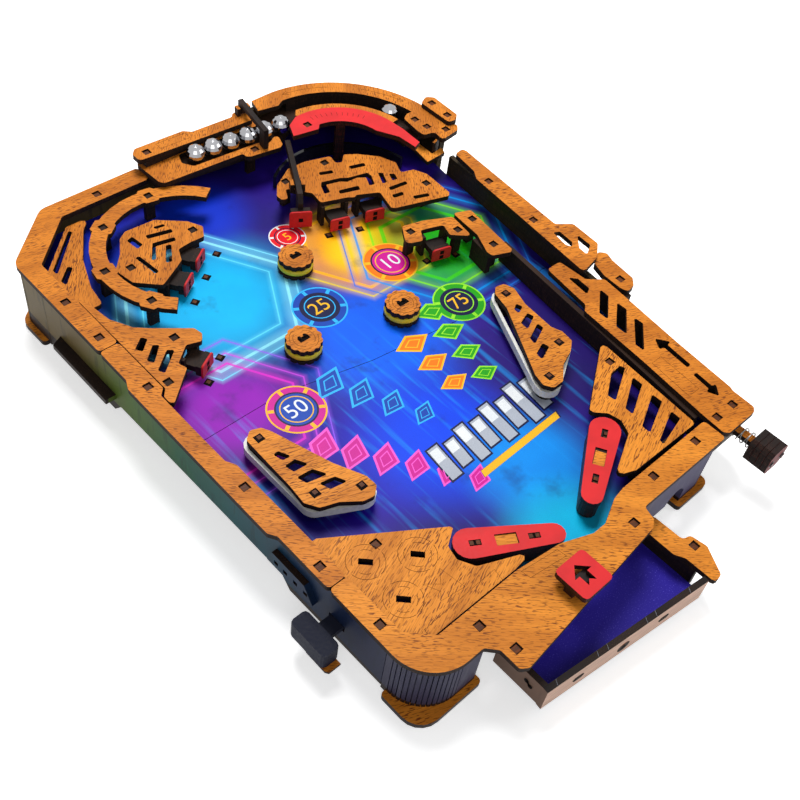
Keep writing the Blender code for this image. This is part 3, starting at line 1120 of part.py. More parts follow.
def buttons(make, paint, at):
    """A cap outside each wall, on a slider that reaches the flipper's link under the field."""
    y = at["slider"]
    start, end = (Vector(metres(share)) for share in LANE_OUTER_SHARES)
    right_face = start.x + (end.x - start.x) * (y - start.y) / (end.y - start.y) + PLY / 2
    faces = {"left": at["left"] - PLY, "right": right_face + PLY / 2}
    for side, face in faces.items():
        sign = -1 if side == "left" else 1
        pivot = Vector(metres(FLIPPER_SHARES["flipper_" + side][0]))
        rest = Matrix.Rotation(sign * SWING / 2, 2) @ Vector((0, -LINK_LENGTH))
        contact = pivot.x + rest.x + sign * (LINK_RADIUS + 2 * GAP)
        inner = face + sign * (BUTTON_TRAVEL + 2 * GAP)
        outer = inner + sign * BUTTON_REACH
        half = BUTTON_LENGTH / 2
        button = make.piece("button_" + side, paint["char"], pivot=(inner, y, SLIDER_LOW))
        button.plate(rounded([(inner, y - half), (outer, y - half), (outer, y + half),
                              (inner, y + half)]), BUTTON_LOW, BUTTON_LOW + BUTTON_HEIGHT)
        near = inner + sign * PLY
        push = pivot.y - LINK_LENGTH
        wide = SLIDER_WIDTH / 2
        shape = [(near, y + wide), (contact + sign * 3 * LINK_LENGTH, y + wide),
                 (contact, push + LINK_RADIUS / 5), (contact, push - LINK_RADIUS * 1.4),
                 (contact + sign * LINK_LENGTH, push - LINK_RADIUS * 1.4),
                 (contact + sign * 4 * LINK_LENGTH, y - wide), (near, y - wide)]
        button.plate(shape, SLIDER_LOW, SLIDER_LOW + PLY)
        button.done()


def targets(make, paint):
    """Swinging targets: each hangs on a pin between two ears and tips back when hit."""
    for name, (sx, sy, degrees, _) in TARGET_SHARES.items():
        angle = math.radians(degrees)
        pin, back_angle = target_pin((sx, sy), angle)
        level, arm, reach = TARGET_PIVOT, TARGET_ARM / 2, PLY / 2 + TARGET_REACH
        side = [(PLY / 2, TARGET_LOW), (PLY / 2, level - arm), (reach, level - arm)]
        side += arc((reach, level), arm, -math.pi / 2, math.pi / 2, 6)[1:]
        side += [(PLY / 2, level + arm), (PLY / 2, TARGET_TOP), (-PLY / 2, TARGET_TOP),
                 (-PLY / 2, TARGET_LOW)]
        make.piece(name, paint["red"], pivot=(pin.x, pin.y, level)).sheet(
            side, metres((sx, sy)), back_angle, TARGET_WIDTH).pin(
                pin, back_angle, level, TARGET_WIDTH).done()


def centre_on_ground(deck):
    """Moves the deck so that the model stands centred on the origin."""
    bpy.context.view_layer.update()
    graph = bpy.context.evaluated_depsgraph_get()
    low = Vector((math.inf,) * 3)
    high = -low
    for thing in bpy.context.scene.objects:
        if thing.type == "EMPTY":
            continue
        shape = thing.evaluated_get(graph)
        mesh = shape.to_mesh()
        for vert in mesh.vertices:
            place = shape.matrix_world @ vert.co
            low = Vector(map(min, low, place))
            high = Vector(map(max, high, place))
        shape.to_mesh_clear()
    middle = (low + high) / 2
    deck.location.x -= middle.x
    deck.location.y -= middle.y
    bpy.context.view_layer.update()
    print("size in mm", [round(v * 1000, 2) for v in high - low], "low", round(low.z * 1000, 3))
    for thing in bpy.context.scene.objects:
        if thing.parent and thing.location.length > 0:
            print("joint at", thing.name, [round(v, 6) for v in thing.matrix_world.translation])


def main():
    for thing in list(bpy.data.objects):
        bpy.data.objects.remove(thing, do_unlink=True)
    paint = make_materials()
    deck = frame("deck", (0, 0, DECK_HEIGHT), (TILT, 0, 0))
    make = Maker(deck)
    at = wall_stations()
    playfield(make, paint, at)
    cabinet(make, paint, at)
    furniture(make, paint)
    launch_lane(make, paint, at)
    bonus_works(make, paint)
    plunger(make, paint)
    front_tray(make, paint)
    flippers(make, paint)
    buttons(make, paint, at)
    targets(make, paint)
    centre_on_ground(deck)


main()
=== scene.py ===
import math

import bpy
from mathutils import Matrix, Vector


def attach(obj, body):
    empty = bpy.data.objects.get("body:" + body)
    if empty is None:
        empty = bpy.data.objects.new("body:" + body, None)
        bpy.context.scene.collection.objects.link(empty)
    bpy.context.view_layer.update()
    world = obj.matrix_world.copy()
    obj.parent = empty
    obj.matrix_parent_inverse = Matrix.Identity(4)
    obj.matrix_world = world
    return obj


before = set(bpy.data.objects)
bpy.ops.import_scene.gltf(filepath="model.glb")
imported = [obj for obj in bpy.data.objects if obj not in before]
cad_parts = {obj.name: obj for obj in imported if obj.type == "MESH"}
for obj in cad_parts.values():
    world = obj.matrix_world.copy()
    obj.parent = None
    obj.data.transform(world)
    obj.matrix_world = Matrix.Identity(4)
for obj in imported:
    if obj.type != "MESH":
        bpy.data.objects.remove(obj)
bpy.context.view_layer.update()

# Sizes are in millimetres on the tilted deck: X to the player's right, Y to the back, Z up from
# the playing surface. Pieces are made there and then set in the world.
MM = 0.001
TILT = math.radians(1.2)
DECK = (Matrix.Translation((-0.0248257, 0.0178424, 0.0245)) @ Matrix.Rotation(TILT, 4, "X"))
ONTO_DECK = DECK @ Matrix.Scale(MM, 4)
ACROSS, ALONG = 100.0, 165.0

PLY = 3.0
INFILL_TOP, MID_TOP, RIM_TOP, HIGH_TOP, TRAY_LOW_TOP, RAIL_TOP, OVER_TOP = (
    9.7, 12.7, 16.0, 19.3, 20.0, 26.0, 29.3)
RESET_TOP = 24.0
FLAP_TOP = 16.6
LINE = 0.22
FOOT_LEVEL = -16.0
BRACKET_FACE = -102.9
TRAY_MIDDLE = -6.0
KNOB_START = -171.0
TENON_SINK = 0.8
PRINT = 0.04
RELIEF = 0.1
PRINT_SHEEN = 0.12
LOOKS_UP = (0.55, 0.75)

# How the photograph looks at the deck, and how much light the sky gives to what isn't seen.
SKY_LIGHT = 0.16
CAMERA_LENS = 48.29
CAMERA_EYE = (-262.47, -261.51, 399.05)
CAMERA_RIGHT = (0.724463, -0.681223, 0.105303)
CAMERA_UP = (0.471092, 0.600825, 0.645819)

# The two beech tones below are one ply: the brighter carries painted light, as on the lit front
# plates, and the deeper one painted shade for the other plates.
BEECH = (0.84, 0.295, 0.030)
BEECH_SHADED = (0.72, 0.235, 0.022)
BEECH_DARK = (0.17, 0.040, 0.006)
CHAR = (0.010, 0.006, 0.005)
CHAR_LIGHT = (0.050, 0.024, 0.014)
OLIVE = (0.030, 0.020, 0.008)
OLIVE_LIGHT = (0.085, 0.050, 0.020)
TENON = (0.040, 0.018, 0.010)
TAN = (0.76, 0.49, 0.37)
RED = (0.76, 0.026, 0.030)
CREAM = (0.80, 0.79, 0.74)
YELLOW = (0.78, 0.60, 0.006)
NAVY = (0.014, 0.016, 0.030)


def spot(share_x, share_y, z=0.0):
    """A place given in shares of the half width and half length."""
    return Vector((share_x * ACROSS, share_y * ALONG, z))


# Shader building


class Shader:
    """Short words for building a node tree."""

    def __init__(self, tree):
        self.tree = tree
        self.nodes, self.links = tree.nodes, tree.links

    def add(self, kind, **settings):
        node = self.nodes.new("ShaderNode" + kind)
        for key, value in settings.items():
            setattr(node, key, value)
        return node

    def feed(self, socket, value):
        if isinstance(value, bpy.types.NodeSocket):
            self.links.new(value, socket)
        elif value is not None:
            size = len(socket.default_value) if hasattr(socket.default_value, "__len__") else 0
            if size == 4 and len(value) == 3:
                value = (*value, 1.0)
            socket.default_value = value

    def math(self, operation, *values, clamp=False):
        node = self.add("Math", operation=operation, use_clamp=clamp)
        for socket, value in zip(node.inputs, values):
            self.feed(socket, value)
        return node.outputs[0]

    def vector(self, operation, *values):
        node = self.add("VectorMath", operation=operation)
        for socket, value in zip(node.inputs, values):
            self.feed(socket, value)
        return node.outputs["Value" if operation in ("DOT_PRODUCT", "LENGTH", "DISTANCE")
                            else "Vector"]

    def mix(self, share, first, second, blend="MIX"):
        node = self.add("Mix", data_type="RGBA", blend_type=blend)
        self.feed(node.inputs["Factor"], share)
        self.feed(node.inputs["A"], first)
        self.feed(node.inputs["B"], second)
        return node.outputs["Result"]

    def span(self, value, low, high, out_low=0.0, out_high=1.0):
        node = self.add("MapRange", interpolation_type="SMOOTHSTEP")
        for name, given in (("Value", value), ("From Min", low), ("From Max", high),
                            ("To Min", out_low), ("To Max", out_high)):
            self.feed(node.inputs[name], given)
        return node.outputs["Result"]

    def noise(self, place, scale, detail=2.0, rough=0.5):
        node = self.add("TexNoise")
        self.feed(node.inputs["Vector"], place)
        self.feed(node.inputs["Scale"], scale)
        self.feed(node.inputs["Detail"], detail)
        self.feed(node.inputs["Roughness"], rough)
        return node.outputs["Fac"]

    def stretch(self, place, scale, turn=0.0):
        node = self.add("Mapping")
        self.feed(node.inputs["Vector"], place)
        self.feed(node.inputs["Rotation"], (0.0, 0.0, turn))
        self.feed(node.inputs["Scale"], scale)
        return node.outputs["Vector"]

    def axes(self, place):
        node = self.add("SeparateXYZ")
        self.feed(node.inputs[0], place)
        return node.outputs

    def group(self, name, **values):
        node = self.add("Group", node_tree=bpy.data.node_groups[name])
        for key, value in values.items():
            self.feed(node.inputs[key.replace("_", " ")], value)
        return node.outputs


def new_group(name, takes, gives):
    tree = bpy.data.node_groups.new(name, "ShaderNodeTree")
    kinds = {"c": "NodeSocketColor", "f": "NodeSocketFloat", "v": "NodeSocketVector"}
    for label, kind in takes:
        tree.interface.new_socket(label, in_out="INPUT", socket_type=kinds[kind])
    for label, kind in gives:
        tree.interface.new_socket(label, in_out="OUTPUT", socket_type=kinds[kind])
    shader = Shader(tree)
    taken = shader.nodes.new("NodeGroupInput").outputs
    given = shader.nodes.new("NodeGroupOutput").inputs
    return shader, taken, given


def group_place():
    """Where a point lies on the deck, in millimetres, and how far its face looks up."""
    s, _, out = new_group("deck_place", (), (("Place", "v"), ("Height", "f"), ("Up", "f"),
                                             ("Front", "f"), ("Left", "f")))
    coordinates = s.add("TexCoord")
    mapping = s.add("Mapping")
    s.feed(mapping.inputs["Vector"], coordinates.outputs["Object"])
    s.feed(mapping.inputs["Scale"], (1 / MM, 1 / MM, 1 / MM))
    s.feed(mapping.inputs["Rotation"], (-TILT, 0.0, 0.0))
    s.feed(mapping.inputs["Location"], tuple(DECK.inverted().translation / MM))
    place = mapping.outputs["Vector"]
    s.feed(out["Place"], place)
    axes = s.axes(place)
    s.feed(out["Height"], axes["Z"])
    for name, way in (("Up", (0.0, -math.sin(TILT), math.cos(TILT))), ("Front", (0.0, -1.0, 0.0)),
                      ("Left", (-1.0, 0.0, 0.0))):
        s.feed(out[name], s.vector("DOT_PRODUCT", coordinates.outputs["Normal"], way))


def group_sheet():
    """Splits a cut sheet: its veneered top, its sunk tenons and lower ledges, its sides."""
    s, take, out = new_group("sheet_face", (("Height", "f"), ("Up", "f"), ("Top", "f"),
                                            ("Floor", "f")), (("Veneer", "f"), ("Sunk", "f")))
    flat = s.span(take["Up"], *LOOKS_UP)
    off = s.math("ABSOLUTE", s.math("SUBTRACT", take["Height"],
                                    s.math("SUBTRACT", take["Top"], TENON_SINK)))
    proud = s.math("MULTIPLY", s.math("GREATER_THAN", take["Height"], take["Floor"]),
                   s.math("GREATER_THAN", off, 0.3))
    s.feed(out["Veneer"], s.math("MULTIPLY", flat, proud))
    s.feed(out["Sunk"], s.math("MULTIPLY", flat, s.math("SUBTRACT", 1.0, proud)))


def group_beech():
    """Beech veneer: warm tone, fine fibres and the short dark flecks of its rays."""
    s, take, out = new_group("beech_veneer", (("Place", "v"), ("Turn", "f"), ("Face", "c")),
                             (("Color", "c"), ("Height", "f"), ("Roughness", "f")))
    turned = s.add("VectorRotate", rotation_type="Z_AXIS")
    s.feed(turned.inputs["Vector"], take["Place"])
    s.feed(turned.inputs["Angle"], take["Turn"])
    along = turned.outputs[0]
    warp = s.noise(along, 0.05, 2.0)
    fleck = s.span(s.noise(s.stretch(along, (0.28, 1.9, 1.0)), 1.0, 1.0, 0.4), 0.55, 0.64)
    fibre = s.noise(s.stretch(along, (0.06, 3.0, 1.0)), 1.0, 3.0, 0.6)
    broad = s.noise(s.stretch(along, (0.012, 0.09, 0.1)), 1.0, 2.0)
    pale = s.mix(s.span(broad, 0.35, 0.65), s.mix(1.0, take["Face"], (0.80, 0.74, 0.68), "MULTIPLY"),
                 s.mix(1.0, take["Face"], (1.10, 1.10, 1.10), "MULTIPLY"))
    toned = s.mix(s.math("MULTIPLY", s.span(fibre, 0.30, 0.75), 0.34), pale, BEECH_DARK)
    patch = s.span(warp, 0.40, 0.58, 0.45, 0.95)
    color = s.mix(s.math("MULTIPLY", fleck, patch), toned, BEECH_DARK)
    s.feed(out["Color"], color)
    s.feed(out["Height"], s.math("SUBTRACT", fibre, s.math("MULTIPLY", fleck, 0.6)))
    s.feed(out["Roughness"], s.span(fibre, 0.2, 0.8, 0.42, 0.58))


def group_char():
    """A laser-cut edge: burnt brown, with the ply's layers just showing."""
    s, take, out = new_group("burnt_edge", (("Place", "v"), ("Dark", "c"), ("Light", "c")),
                             (("Color", "c"), ("Height", "f")))
    streak = s.noise(s.stretch(take["Place"], (2.2, 2.2, 0.25)), 1.0, 2.0)
    layer = s.noise(s.stretch(take["Place"], (0.03, 0.03, 1.7)), 1.0, 1.0)
    dust = s.noise(take["Place"], 0.35, 3.0)
    tone = s.math("MULTIPLY", s.span(streak, 0.40, 0.75), s.span(layer, 0.35, 0.70))
    tone = s.math("ADD", tone, s.math("MULTIPLY", s.span(dust, 0.50, 0.80), 0.25), clamp=True)
    s.feed(out["Color"], s.mix(tone, take["Dark"], take["Light"]))
    s.feed(out["Height"], s.math("ADD", streak, layer))


def group_pool():
    """A soft pool of printed colour about a point on the deck."""
    s, take, out = new_group("printed_pool", (("Place", "v"), ("Centre", "v"), ("Radius", "f")),
                             (("Share", "f"),))
    flat = s.vector("MULTIPLY", take["Place"], (1.0, 1.0, 0.0))
    away = s.vector("DISTANCE", flat, take["Centre"])
    s.feed(out["Share"], s.span(away, s.math("MULTIPLY", take["Radius"], 0.30),
                                take["Radius"], 1.0, 0.0))


def group_hexagon():
    """A glowing printed outline with six sides about a point on the deck."""
    s, take, out = new_group(
        "printed_hexagon", (("Place", "v"), ("Centre", "v"), ("Radius", "f"), ("Width", "f")),
        (("Line", "f"), ("Glow", "f")))
    offset = s.vector("ABSOLUTE", s.vector("SUBTRACT", take["Place"], take["Centre"]))
    side = s.vector("DOT_PRODUCT", offset, (0.866, 0.5, 0.0))
    top = s.vector("DOT_PRODUCT", offset, (0.0, 1.0, 0.0))
    off = s.math("ABSOLUTE", s.math("SUBTRACT", s.math("MAXIMUM", side, top), take["Radius"]))
    s.feed(out["Line"], s.span(off, s.math("MULTIPLY", take["Width"], 0.3),
                               s.math("MULTIPLY", take["Width"], 0.55), 1.0, 0.0))
    s.feed(out["Glow"], s.span(off, 0.0, s.math("MULTIPLY", take["Width"], 3.5), 1.0, 0.0))


def group_print_grain():
    """The faint tooth of printed paper on ply."""
    s, take, out = new_group("print_grain", (("Place", "v"), ("Ink", "c")),
                             (("Color", "c"), ("Height", "f")))
    tooth = s.noise(take["Place"], 2.6, 2.0)
    cloud = s.noise(take["Place"], 0.05, 3.0)
    shade = s.mix(s.span(tooth, 0.3, 0.7), (0.90, 0.90, 0.92), (1.06, 1.06, 1.05))
    washed = s.mix(1.0, take["Ink"], shade, "MULTIPLY")
    s.feed(out["Color"], s.mix(s.span(cloud, 0.35, 0.7), washed,
                               s.mix(1.0, washed, (1.12, 1.10, 1.06), "MULTIPLY")))
    s.feed(out["Height"], tooth)


def finish_of(name):
    """A new material with its Principled shader and node helper."""
    made = bpy.data.materials.new(name)
    made.use_nodes = True
    s = Shader(made.node_tree)
    return made, s, s.nodes["Principled BSDF"]


def surface(s, shader, roughness, sheen, height, strength):
    """Sets how a finish shines and raises its fine relief."""
    s.feed(shader.inputs["Roughness"], roughness)
    shader.inputs["Specular IOR Level"].default_value = sheen
    bump = s.add("Bump")
    s.feed(bump.inputs["Height"], height)
    bump.inputs["Strength"].default_value = strength
    bump.inputs["Distance"].default_value = RELIEF * MM
    s.feed(shader.inputs["Normal"], bump.outputs["Normal"])


def sheet_ply(name, top, floor=None, turn=0.0, wood=BEECH):
    """Cut plywood: a veneered face above `floor`, sunk tenons and burnt sides."""
    made, s, shader = finish_of(name)
    place = s.group("deck_place")
    mask = s.group("sheet_face", Height=place["Height"], Up=place["Up"], Top=top,
                   Floor=top - 0.4 if floor is None else floor)
    veneer = s.group("beech_veneer", Place=place["Place"], Turn=turn, Face=wood)
    char = s.group("burnt_edge", Place=place["Place"], Dark=CHAR, Light=CHAR_LIGHT)
    color = s.mix(mask["Sunk"], char["Color"], s.mix(0.5, char["Color"], TENON))
    s.feed(shader.inputs["Base Color"], s.mix(mask["Veneer"], color, veneer["Color"]))
    relief = s.math("ADD", veneer["Height"], s.math("MULTIPLY", char["Height"], 0.6))
    surface(s, shader, s.mix(mask["Veneer"], (0.66, 0.66, 0.66), veneer["Roughness"]), 0.14,
            relief, 0.25)
    return made


def lacquer(name, face, top):
    """A painted sheet: colour on its top face only, burnt sides, a little orange peel."""
    made, s, shader = finish_of(name)
    place = s.group("deck_place")
    mask = s.group("sheet_face", Height=place["Height"], Up=place["Up"], Top=top, Floor=top - 0.4)
    char = s.group("burnt_edge", Place=place["Place"], Dark=CHAR, Light=(0.10, 0.02, 0.014))
    peel = s.noise(place["Place"], 0.8, 2.0)
    cloud = s.noise(place["Place"], 0.09, 2.0)
    paint = s.mix(s.span(cloud, 0.3, 0.7), face, s.mix(1.0, face, (0.86, 0.9, 0.9), "MULTIPLY"))
    s.feed(shader.inputs["Base Color"], s.mix(mask["Veneer"], char["Color"], paint))
    surface(s, shader, s.span(peel, 0.3, 0.7, 0.40, 0.52), 0.16, peel, 0.12)
    return made


def burnt(name, dark=CHAR, light=CHAR_LIGHT, gloss=0.6):
    """Dark cut ply on every side."""
    made, s, shader = finish_of(name)
    place = s.group("deck_place")
    char = s.group("burnt_edge", Place=place["Place"], Dark=dark, Light=light)
    s.feed(shader.inputs["Base Color"], char["Color"])
    surface(s, shader, gloss, 0.14, char["Height"], 0.3)
    return made


def plain(name, color, roughness=0.5, metallic=0.0, scale=0.5, depth=0.08, sheen=0.5):
    """One colour with a fine surface of its own."""
    made, s, shader = finish_of(name)
    place = s.group("deck_place")
    grain = s.noise(place["Place"], scale, 3.0)
    s.feed(shader.inputs["Base Color"], s.mix(s.span(grain, 0.3, 0.7),
                                              tuple(0.90 * c for c in color),
                                              tuple(min(1.0, 1.06 * c) for c in color)))
    shader.inputs["Metallic"].default_value = metallic
    surface(s, shader, s.span(grain, 0.3, 0.7, roughness * 0.85, min(1.0, roughness * 1.15)),
            sheen, grain, depth)
    return made


def ink(name, color):
    """Printed ink on the deck."""
    made, s, shader = finish_of(name)
    place = s.group("deck_place")
    grain = s.group("print_grain", Place=place["Place"], Ink=color)
    s.feed(shader.inputs["Base Color"], grain["Color"])
    surface(s, shader, 0.36, PRINT_SHEEN, grain["Height"], 0.06)
    return made


# Place in shares, radius and colour of each pool; the outlines have a width as well.
POOLS = ((-0.85, 0.30, 60, (0.002, 0.014, 0.26)), (-0.55, 0.78, 54, (0.004, 0.020, 0.42)),
         (-0.28, 0.42, 64, (0.001, 0.46, 0.88)), (0.05, 0.78, 40, (0.003, 0.03, 0.55)),
         (-0.66, 0.02, 42, (0.28, 0.002, 0.46)), (-0.42, -0.34, 54, (0.016, 0.001, 0.34)),
         (0.22, -0.02, 58, (0.001, 0.12, 0.90)), (0.02, -0.42, 56, (0.001, 0.06, 0.84)),
         (0.62, 0.36, 46, (0.92, 0.36, 0.0)), (0.58, 0.32, 24, (0.98, 0.62, 0.005)),
         (1.00, 0.17, 40, (0.010, 0.40, 0.002)), (0.26, -0.66, 44, (0.001, 0.26, 0.84)),
         (1.00, -0.42, 62, (0.014, 0.004, 0.13)), (0.10, -0.92, 44, (0.0, 0.50, 0.84)),
         (-0.78, -0.36, 40, (0.010, 0.003, 0.16)))
HEXAGONS = ((-0.30, 0.42, 42, 2.0, (0.30, 0.86, 1.0)), (-0.30, 0.42, 47, 0.9, (0.20, 0.75, 1.0)),
            (-0.30, 0.42, 34, 0.8, (0.12, 0.75, 1.0)), (-0.66, 0.00, 30, 1.5, (0.75, 0.02, 0.60)),
            (-0.66, 0.00, 36, 0.8, (0.60, 0.06, 0.75)), (-0.66, 0.00, 44, 0.7, (0.30, 0.10, 0.90)),
            (0.62, 0.34, 29, 2.4, (0.98, 0.44, 0.0)), (0.62, 0.34, 35, 1.2, (0.80, 0.60, 0.02)),
            (0.98, 0.20, 27, 2.8, (0.04, 0.60, 0.0)), (0.98, 0.20, 34, 1.4, (0.20, 0.74, 0.01)),
            (0.98, 0.20, 43, 1.6, (0.0, 0.28, 0.80)), (0.98, 0.20, 51, 0.9, (0.01, 0.16, 0.72)))


def field_print():
    """The printed field: pools of colour, glowing six-sided outlines and slanting beams."""
    made, s, shader = finish_of("field_print")
    place = s.group("deck_place")
    spread = s.vector("MULTIPLY", place["Place"], (1.0, 1.0, 0.0))
    drift = s.noise(spread, 0.018, 2.0)
    color = s.mix(s.span(drift, 0.3, 0.7), (0.012, 0.006, 0.16), (0.026, 0.006, 0.26))
    for x, y, radius, shade in POOLS:
        pool = s.group("printed_pool", Place=spread, Centre=tuple(spot(x, y)), Radius=radius)
        color = s.mix(pool["Share"], color, shade)
    bars = s.noise(s.stretch(spread, (0.16, 0.010, 1.0), math.radians(-20)), 1.0, 2.0, 0.7)
    axes = s.axes(spread)
    front = s.math("MULTIPLY", s.span(axes["Y"], 30.0, -30.0),
                   s.span(axes["Y"], -160.0, -110.0))
    light = s.math("MULTIPLY", s.span(bars, 0.52, 0.72), s.math("MULTIPLY", front, 0.45))
    color = s.mix(light, color, (0.004, 0.34, 0.95))
    swirl = s.noise(spread, 0.035, 4.0, 0.6)
    deep = s.math("MULTIPLY", s.span(swirl, 0.54, 0.70), 0.45)
    color = s.mix(deep, color, (0.006, 0.004, 0.11))
    for x, y, radius, width, shade in HEXAGONS:
        six = s.group("printed_hexagon", Place=spread, Centre=tuple(spot(x, y)), Radius=radius,
                      Width=width)
        color = s.mix(s.math("MULTIPLY", six["Glow"], 0.35), color, shade)
        color = s.mix(s.math("MULTIPLY", six["Line"], 0.80), color, shade)
    grain = s.group("print_grain", Place=spread, Ink=color)
    char = s.group("burnt_edge", Place=place["Place"], Dark=CHAR, Light=CHAR_LIGHT)
    s.feed(shader.inputs["Base Color"], s.mix(s.span(place["Up"], *LOOKS_UP), char["Color"],
                                              grain["Color"]))
    surface(s, shader, 0.42, PRINT_SHEEN, grain["Height"], 0.08)
    return made


def wall_print(name, stops, axis, low, high, streaks):
    """A printed wall: washes along one axis with upright streaks, beech on top of its foot."""
    made, s, shader = finish_of(name)
    place = s.group("deck_place")
    axes = s.axes(place["Place"])
    drift = s.math("MULTIPLY", s.noise(place["Place"], 0.045, 2.0), 34.0)
    run = s.span(s.math("ADD", axes[axis], drift), low, high)
    ramp = s.add("ValToRGB")
    s.feed(ramp.inputs["Fac"], run)
    for i, shade in enumerate(stops):
        stop = (ramp.color_ramp.elements[0] if i == 0 else
                ramp.color_ramp.elements.new(i / len(stops)))
        stop.color = (*shade, 1.0)
    ramp.color_ramp.elements[-1].color = (*stops[-1], 1.0)
    streak = s.noise(s.stretch(place["Place"], (0.30, 0.30, 0.05)), 1.0, 2.0)
    inked = s.mix(s.math("MULTIPLY", s.span(streak, 0.54, 0.70), 0.35), ramp.outputs["Color"],
                  streaks)
    grain = s.group("print_grain", Place=place["Place"], Ink=inked)
    char = s.group("burnt_edge", Place=place["Place"], Dark=CHAR, Light=CHAR_LIGHT)
    veneer = s.group("beech_veneer", Place=place["Place"], Turn=0.4, Face=BEECH)
    low_face = s.math("LESS_THAN", place["Height"], FOOT_LEVEL)
    top = s.span(place["Up"], *LOOKS_UP)
    inner = s.span(s.math("MULTIPLY", s.math("ADD", place["Front"], place["Left"]), -1.0), 0.1, 0.4)
    color = s.mix(inner, grain["Color"], char["Color"])
    color = s.mix(top, color, s.mix(low_face, char["Color"], veneer["Color"]))
    edge = s.math("MULTIPLY", s.math("LESS_THAN", place["Height"], FOOT_LEVEL),
                  s.math("SUBTRACT", 1.0, top))
    edge = s.math("MAXIMUM", edge, s.math("LESS_THAN", axes["X"], BRACKET_FACE))
    s.feed(shader.inputs["Base Color"], s.mix(edge, color, char["Color"]))
    surface(s, shader, 0.48, PRINT_SHEEN, grain["Height"], 0.12)
    return made


def tray_print():
    """The ball tray: speckled printed floor, raw ply outside with painted shade on its left-facing
    side, dark top edges.
    """
    made, s, shader = finish_of("tray_print")
    place = s.group("deck_place")
    char = s.group("burnt_edge", Place=place["Place"], Dark=CHAR, Light=CHAR_LIGHT)
    speck = s.span(s.noise(place["Place"], 1.6, 2.0), 0.60, 0.72)
    floor = s.mix(s.math("MULTIPLY", speck, 0.6), (0.028, 0.016, 0.34), (0.12, 0.09, 0.70))
    fibre = s.noise(s.stretch(place["Place"], (0.10, 0.10, 1.6)), 1.0, 3.0)
    raw = s.mix(s.span(fibre, 0.35, 0.7), TAN, tuple(0.72 * c for c in TAN))
    out = s.span(place["Front"], 0.5, 0.8)
    # Faces looking left get a darker copy of the raw ply colour, which is painted shade. Faces looking
    # front get the raw ply.
    side = s.span(place["Left"], 0.5, 0.8)
    color = s.mix(out, s.mix(side, s.mix(0.5, char["Color"], NAVY), (0.20, 0.12, 0.085)), raw)
    top = s.span(place["Up"], *LOOKS_UP)
    low = s.math("LESS_THAN", place["Height"], TRAY_MIDDLE)
    color = s.mix(top, color, s.mix(low, char["Color"], floor))
    s.feed(shader.inputs["Base Color"], color)
    surface(s, shader, 0.5, PRINT_SHEEN, s.math("ADD", fibre, speck), 0.12)
    return made


def knob_ply():
    """The plunger: beech rod, a knob of dark stacked plates with a reddish end."""
    made, s, shader = finish_of("plunger_ply")
    place = s.group("deck_place")
    axes = s.axes(place["Place"])
    veneer = s.group("beech_veneer", Place=place["Place"], Turn=1.5, Face=BEECH_SHADED)
    char = s.group("burnt_edge", Place=place["Place"], Dark=CHAR, Light=(0.09, 0.035, 0.024))
    top = s.span(place["Up"], *LOOKS_UP)
    knob = s.math("LESS_THAN", axes["Y"], KNOB_START)
    rod = s.mix(top, char["Color"], veneer["Color"])
    end = s.math("MULTIPLY", s.span(place["Front"], 0.6, 0.9), knob)
    color = s.mix(knob, rod, char["Color"])
    s.feed(shader.inputs["Base Color"], s.mix(s.math("MULTIPLY", end, 0.7), color,
                                              (0.20, 0.035, 0.032)))
    surface(s, shader, 0.55, PRINT_SHEEN, char["Height"], 0.3)
    return made


# Mesh building


def pick(thing):
    bpy.ops.object.select_all(action="DESELECT")
    thing.select_set(True)
    bpy.context.view_layer.objects.active = thing


def settle(thing, name, body, finish=None):
    """Sets a finished mesh on the deck, gives it its finish and the body it rides on."""
    pick(thing)
    bpy.ops.object.transform_apply(location=True, rotation=True, scale=True)
    thing.data.transform(ONTO_DECK)
    thing.name = thing.data.name = name
    if finish:
        coat(thing, finish)
    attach(thing, body)
    return thing


def coat(thing, finish):
    thing.data.materials.clear()
    thing.data.materials.append(FINISH[finish])
    return thing


def turned(place, angle=0.0, stretch=(1.0, 1.0, 1.0)):
    return (Matrix.Translation(place) @ Matrix.Rotation(angle, 4, "Z")
            @ Matrix.Diagonal((*stretch, 1.0)))


def upright(place, angle):
    """Stands a flat shape up: its width runs along `angle`, its face looks to the front."""
    return (Matrix.Translation(place) @ Matrix.Rotation(angle, 4, "Z")
            @ Matrix.Rotation(math.pi / 2, 4, "X"))


def copies(first, ways):
    """Copies a piece to each place, every copy with a mesh of its own, and joins them."""
    made = []
    for way in ways:
        again = first.copy()
        again.data = first.data.copy()
        bpy.context.scene.collection.objects.link(again)
        again.data.transform(way)
        made.append(again)
    bpy.data.objects.remove(first)
    return joined(made)


def as_mesh(data):
    """Turns curve data into an object with a mesh."""
    thing = bpy.data.objects.new(data.name, data)
    bpy.context.scene.collection.objects.link(thing)
    pick(thing)
    bpy.ops.object.convert(target="MESH")
    return bpy.context.view_layer.objects.active


def flat_shape(rings, low, high, rounding=0.0):
    """A cut sheet from closed outlines: the first is its edge, the rest are holes."""
    data = bpy.data.curves.new("sheet", "CURVE")
    data.dimensions = "2D"
    data.fill_mode = "BOTH"
    data.extrude = (high - low) / 2 - rounding
    data.bevel_depth = rounding
    data.bevel_resolution = 1
    for ring in rings:
        spline = data.splines.new("POLY")
        spline.points.add(len(ring) - 1)
        for point, (x, y) in zip(spline.points, ring):
            point.co = (x, y, 0.0, 1.0)
        spline.use_cyclic_u = True
    thing = as_mesh(data)
    thing.data.transform(Matrix.Translation((0, 0, (low + high) / 2)))
    return thing


def ring_of(centre, radius, steps=40, start=0.0, end=2 * math.pi):
    whole = abs(end - start - 2 * math.pi) < 1e-6
    count = steps if whole else steps + 1
    return [(centre[0] + radius * math.cos(start + (end - start) * i / steps),
             centre[1] + radius * math.sin(start + (end - start) * i / steps))
            for i in range(count)]


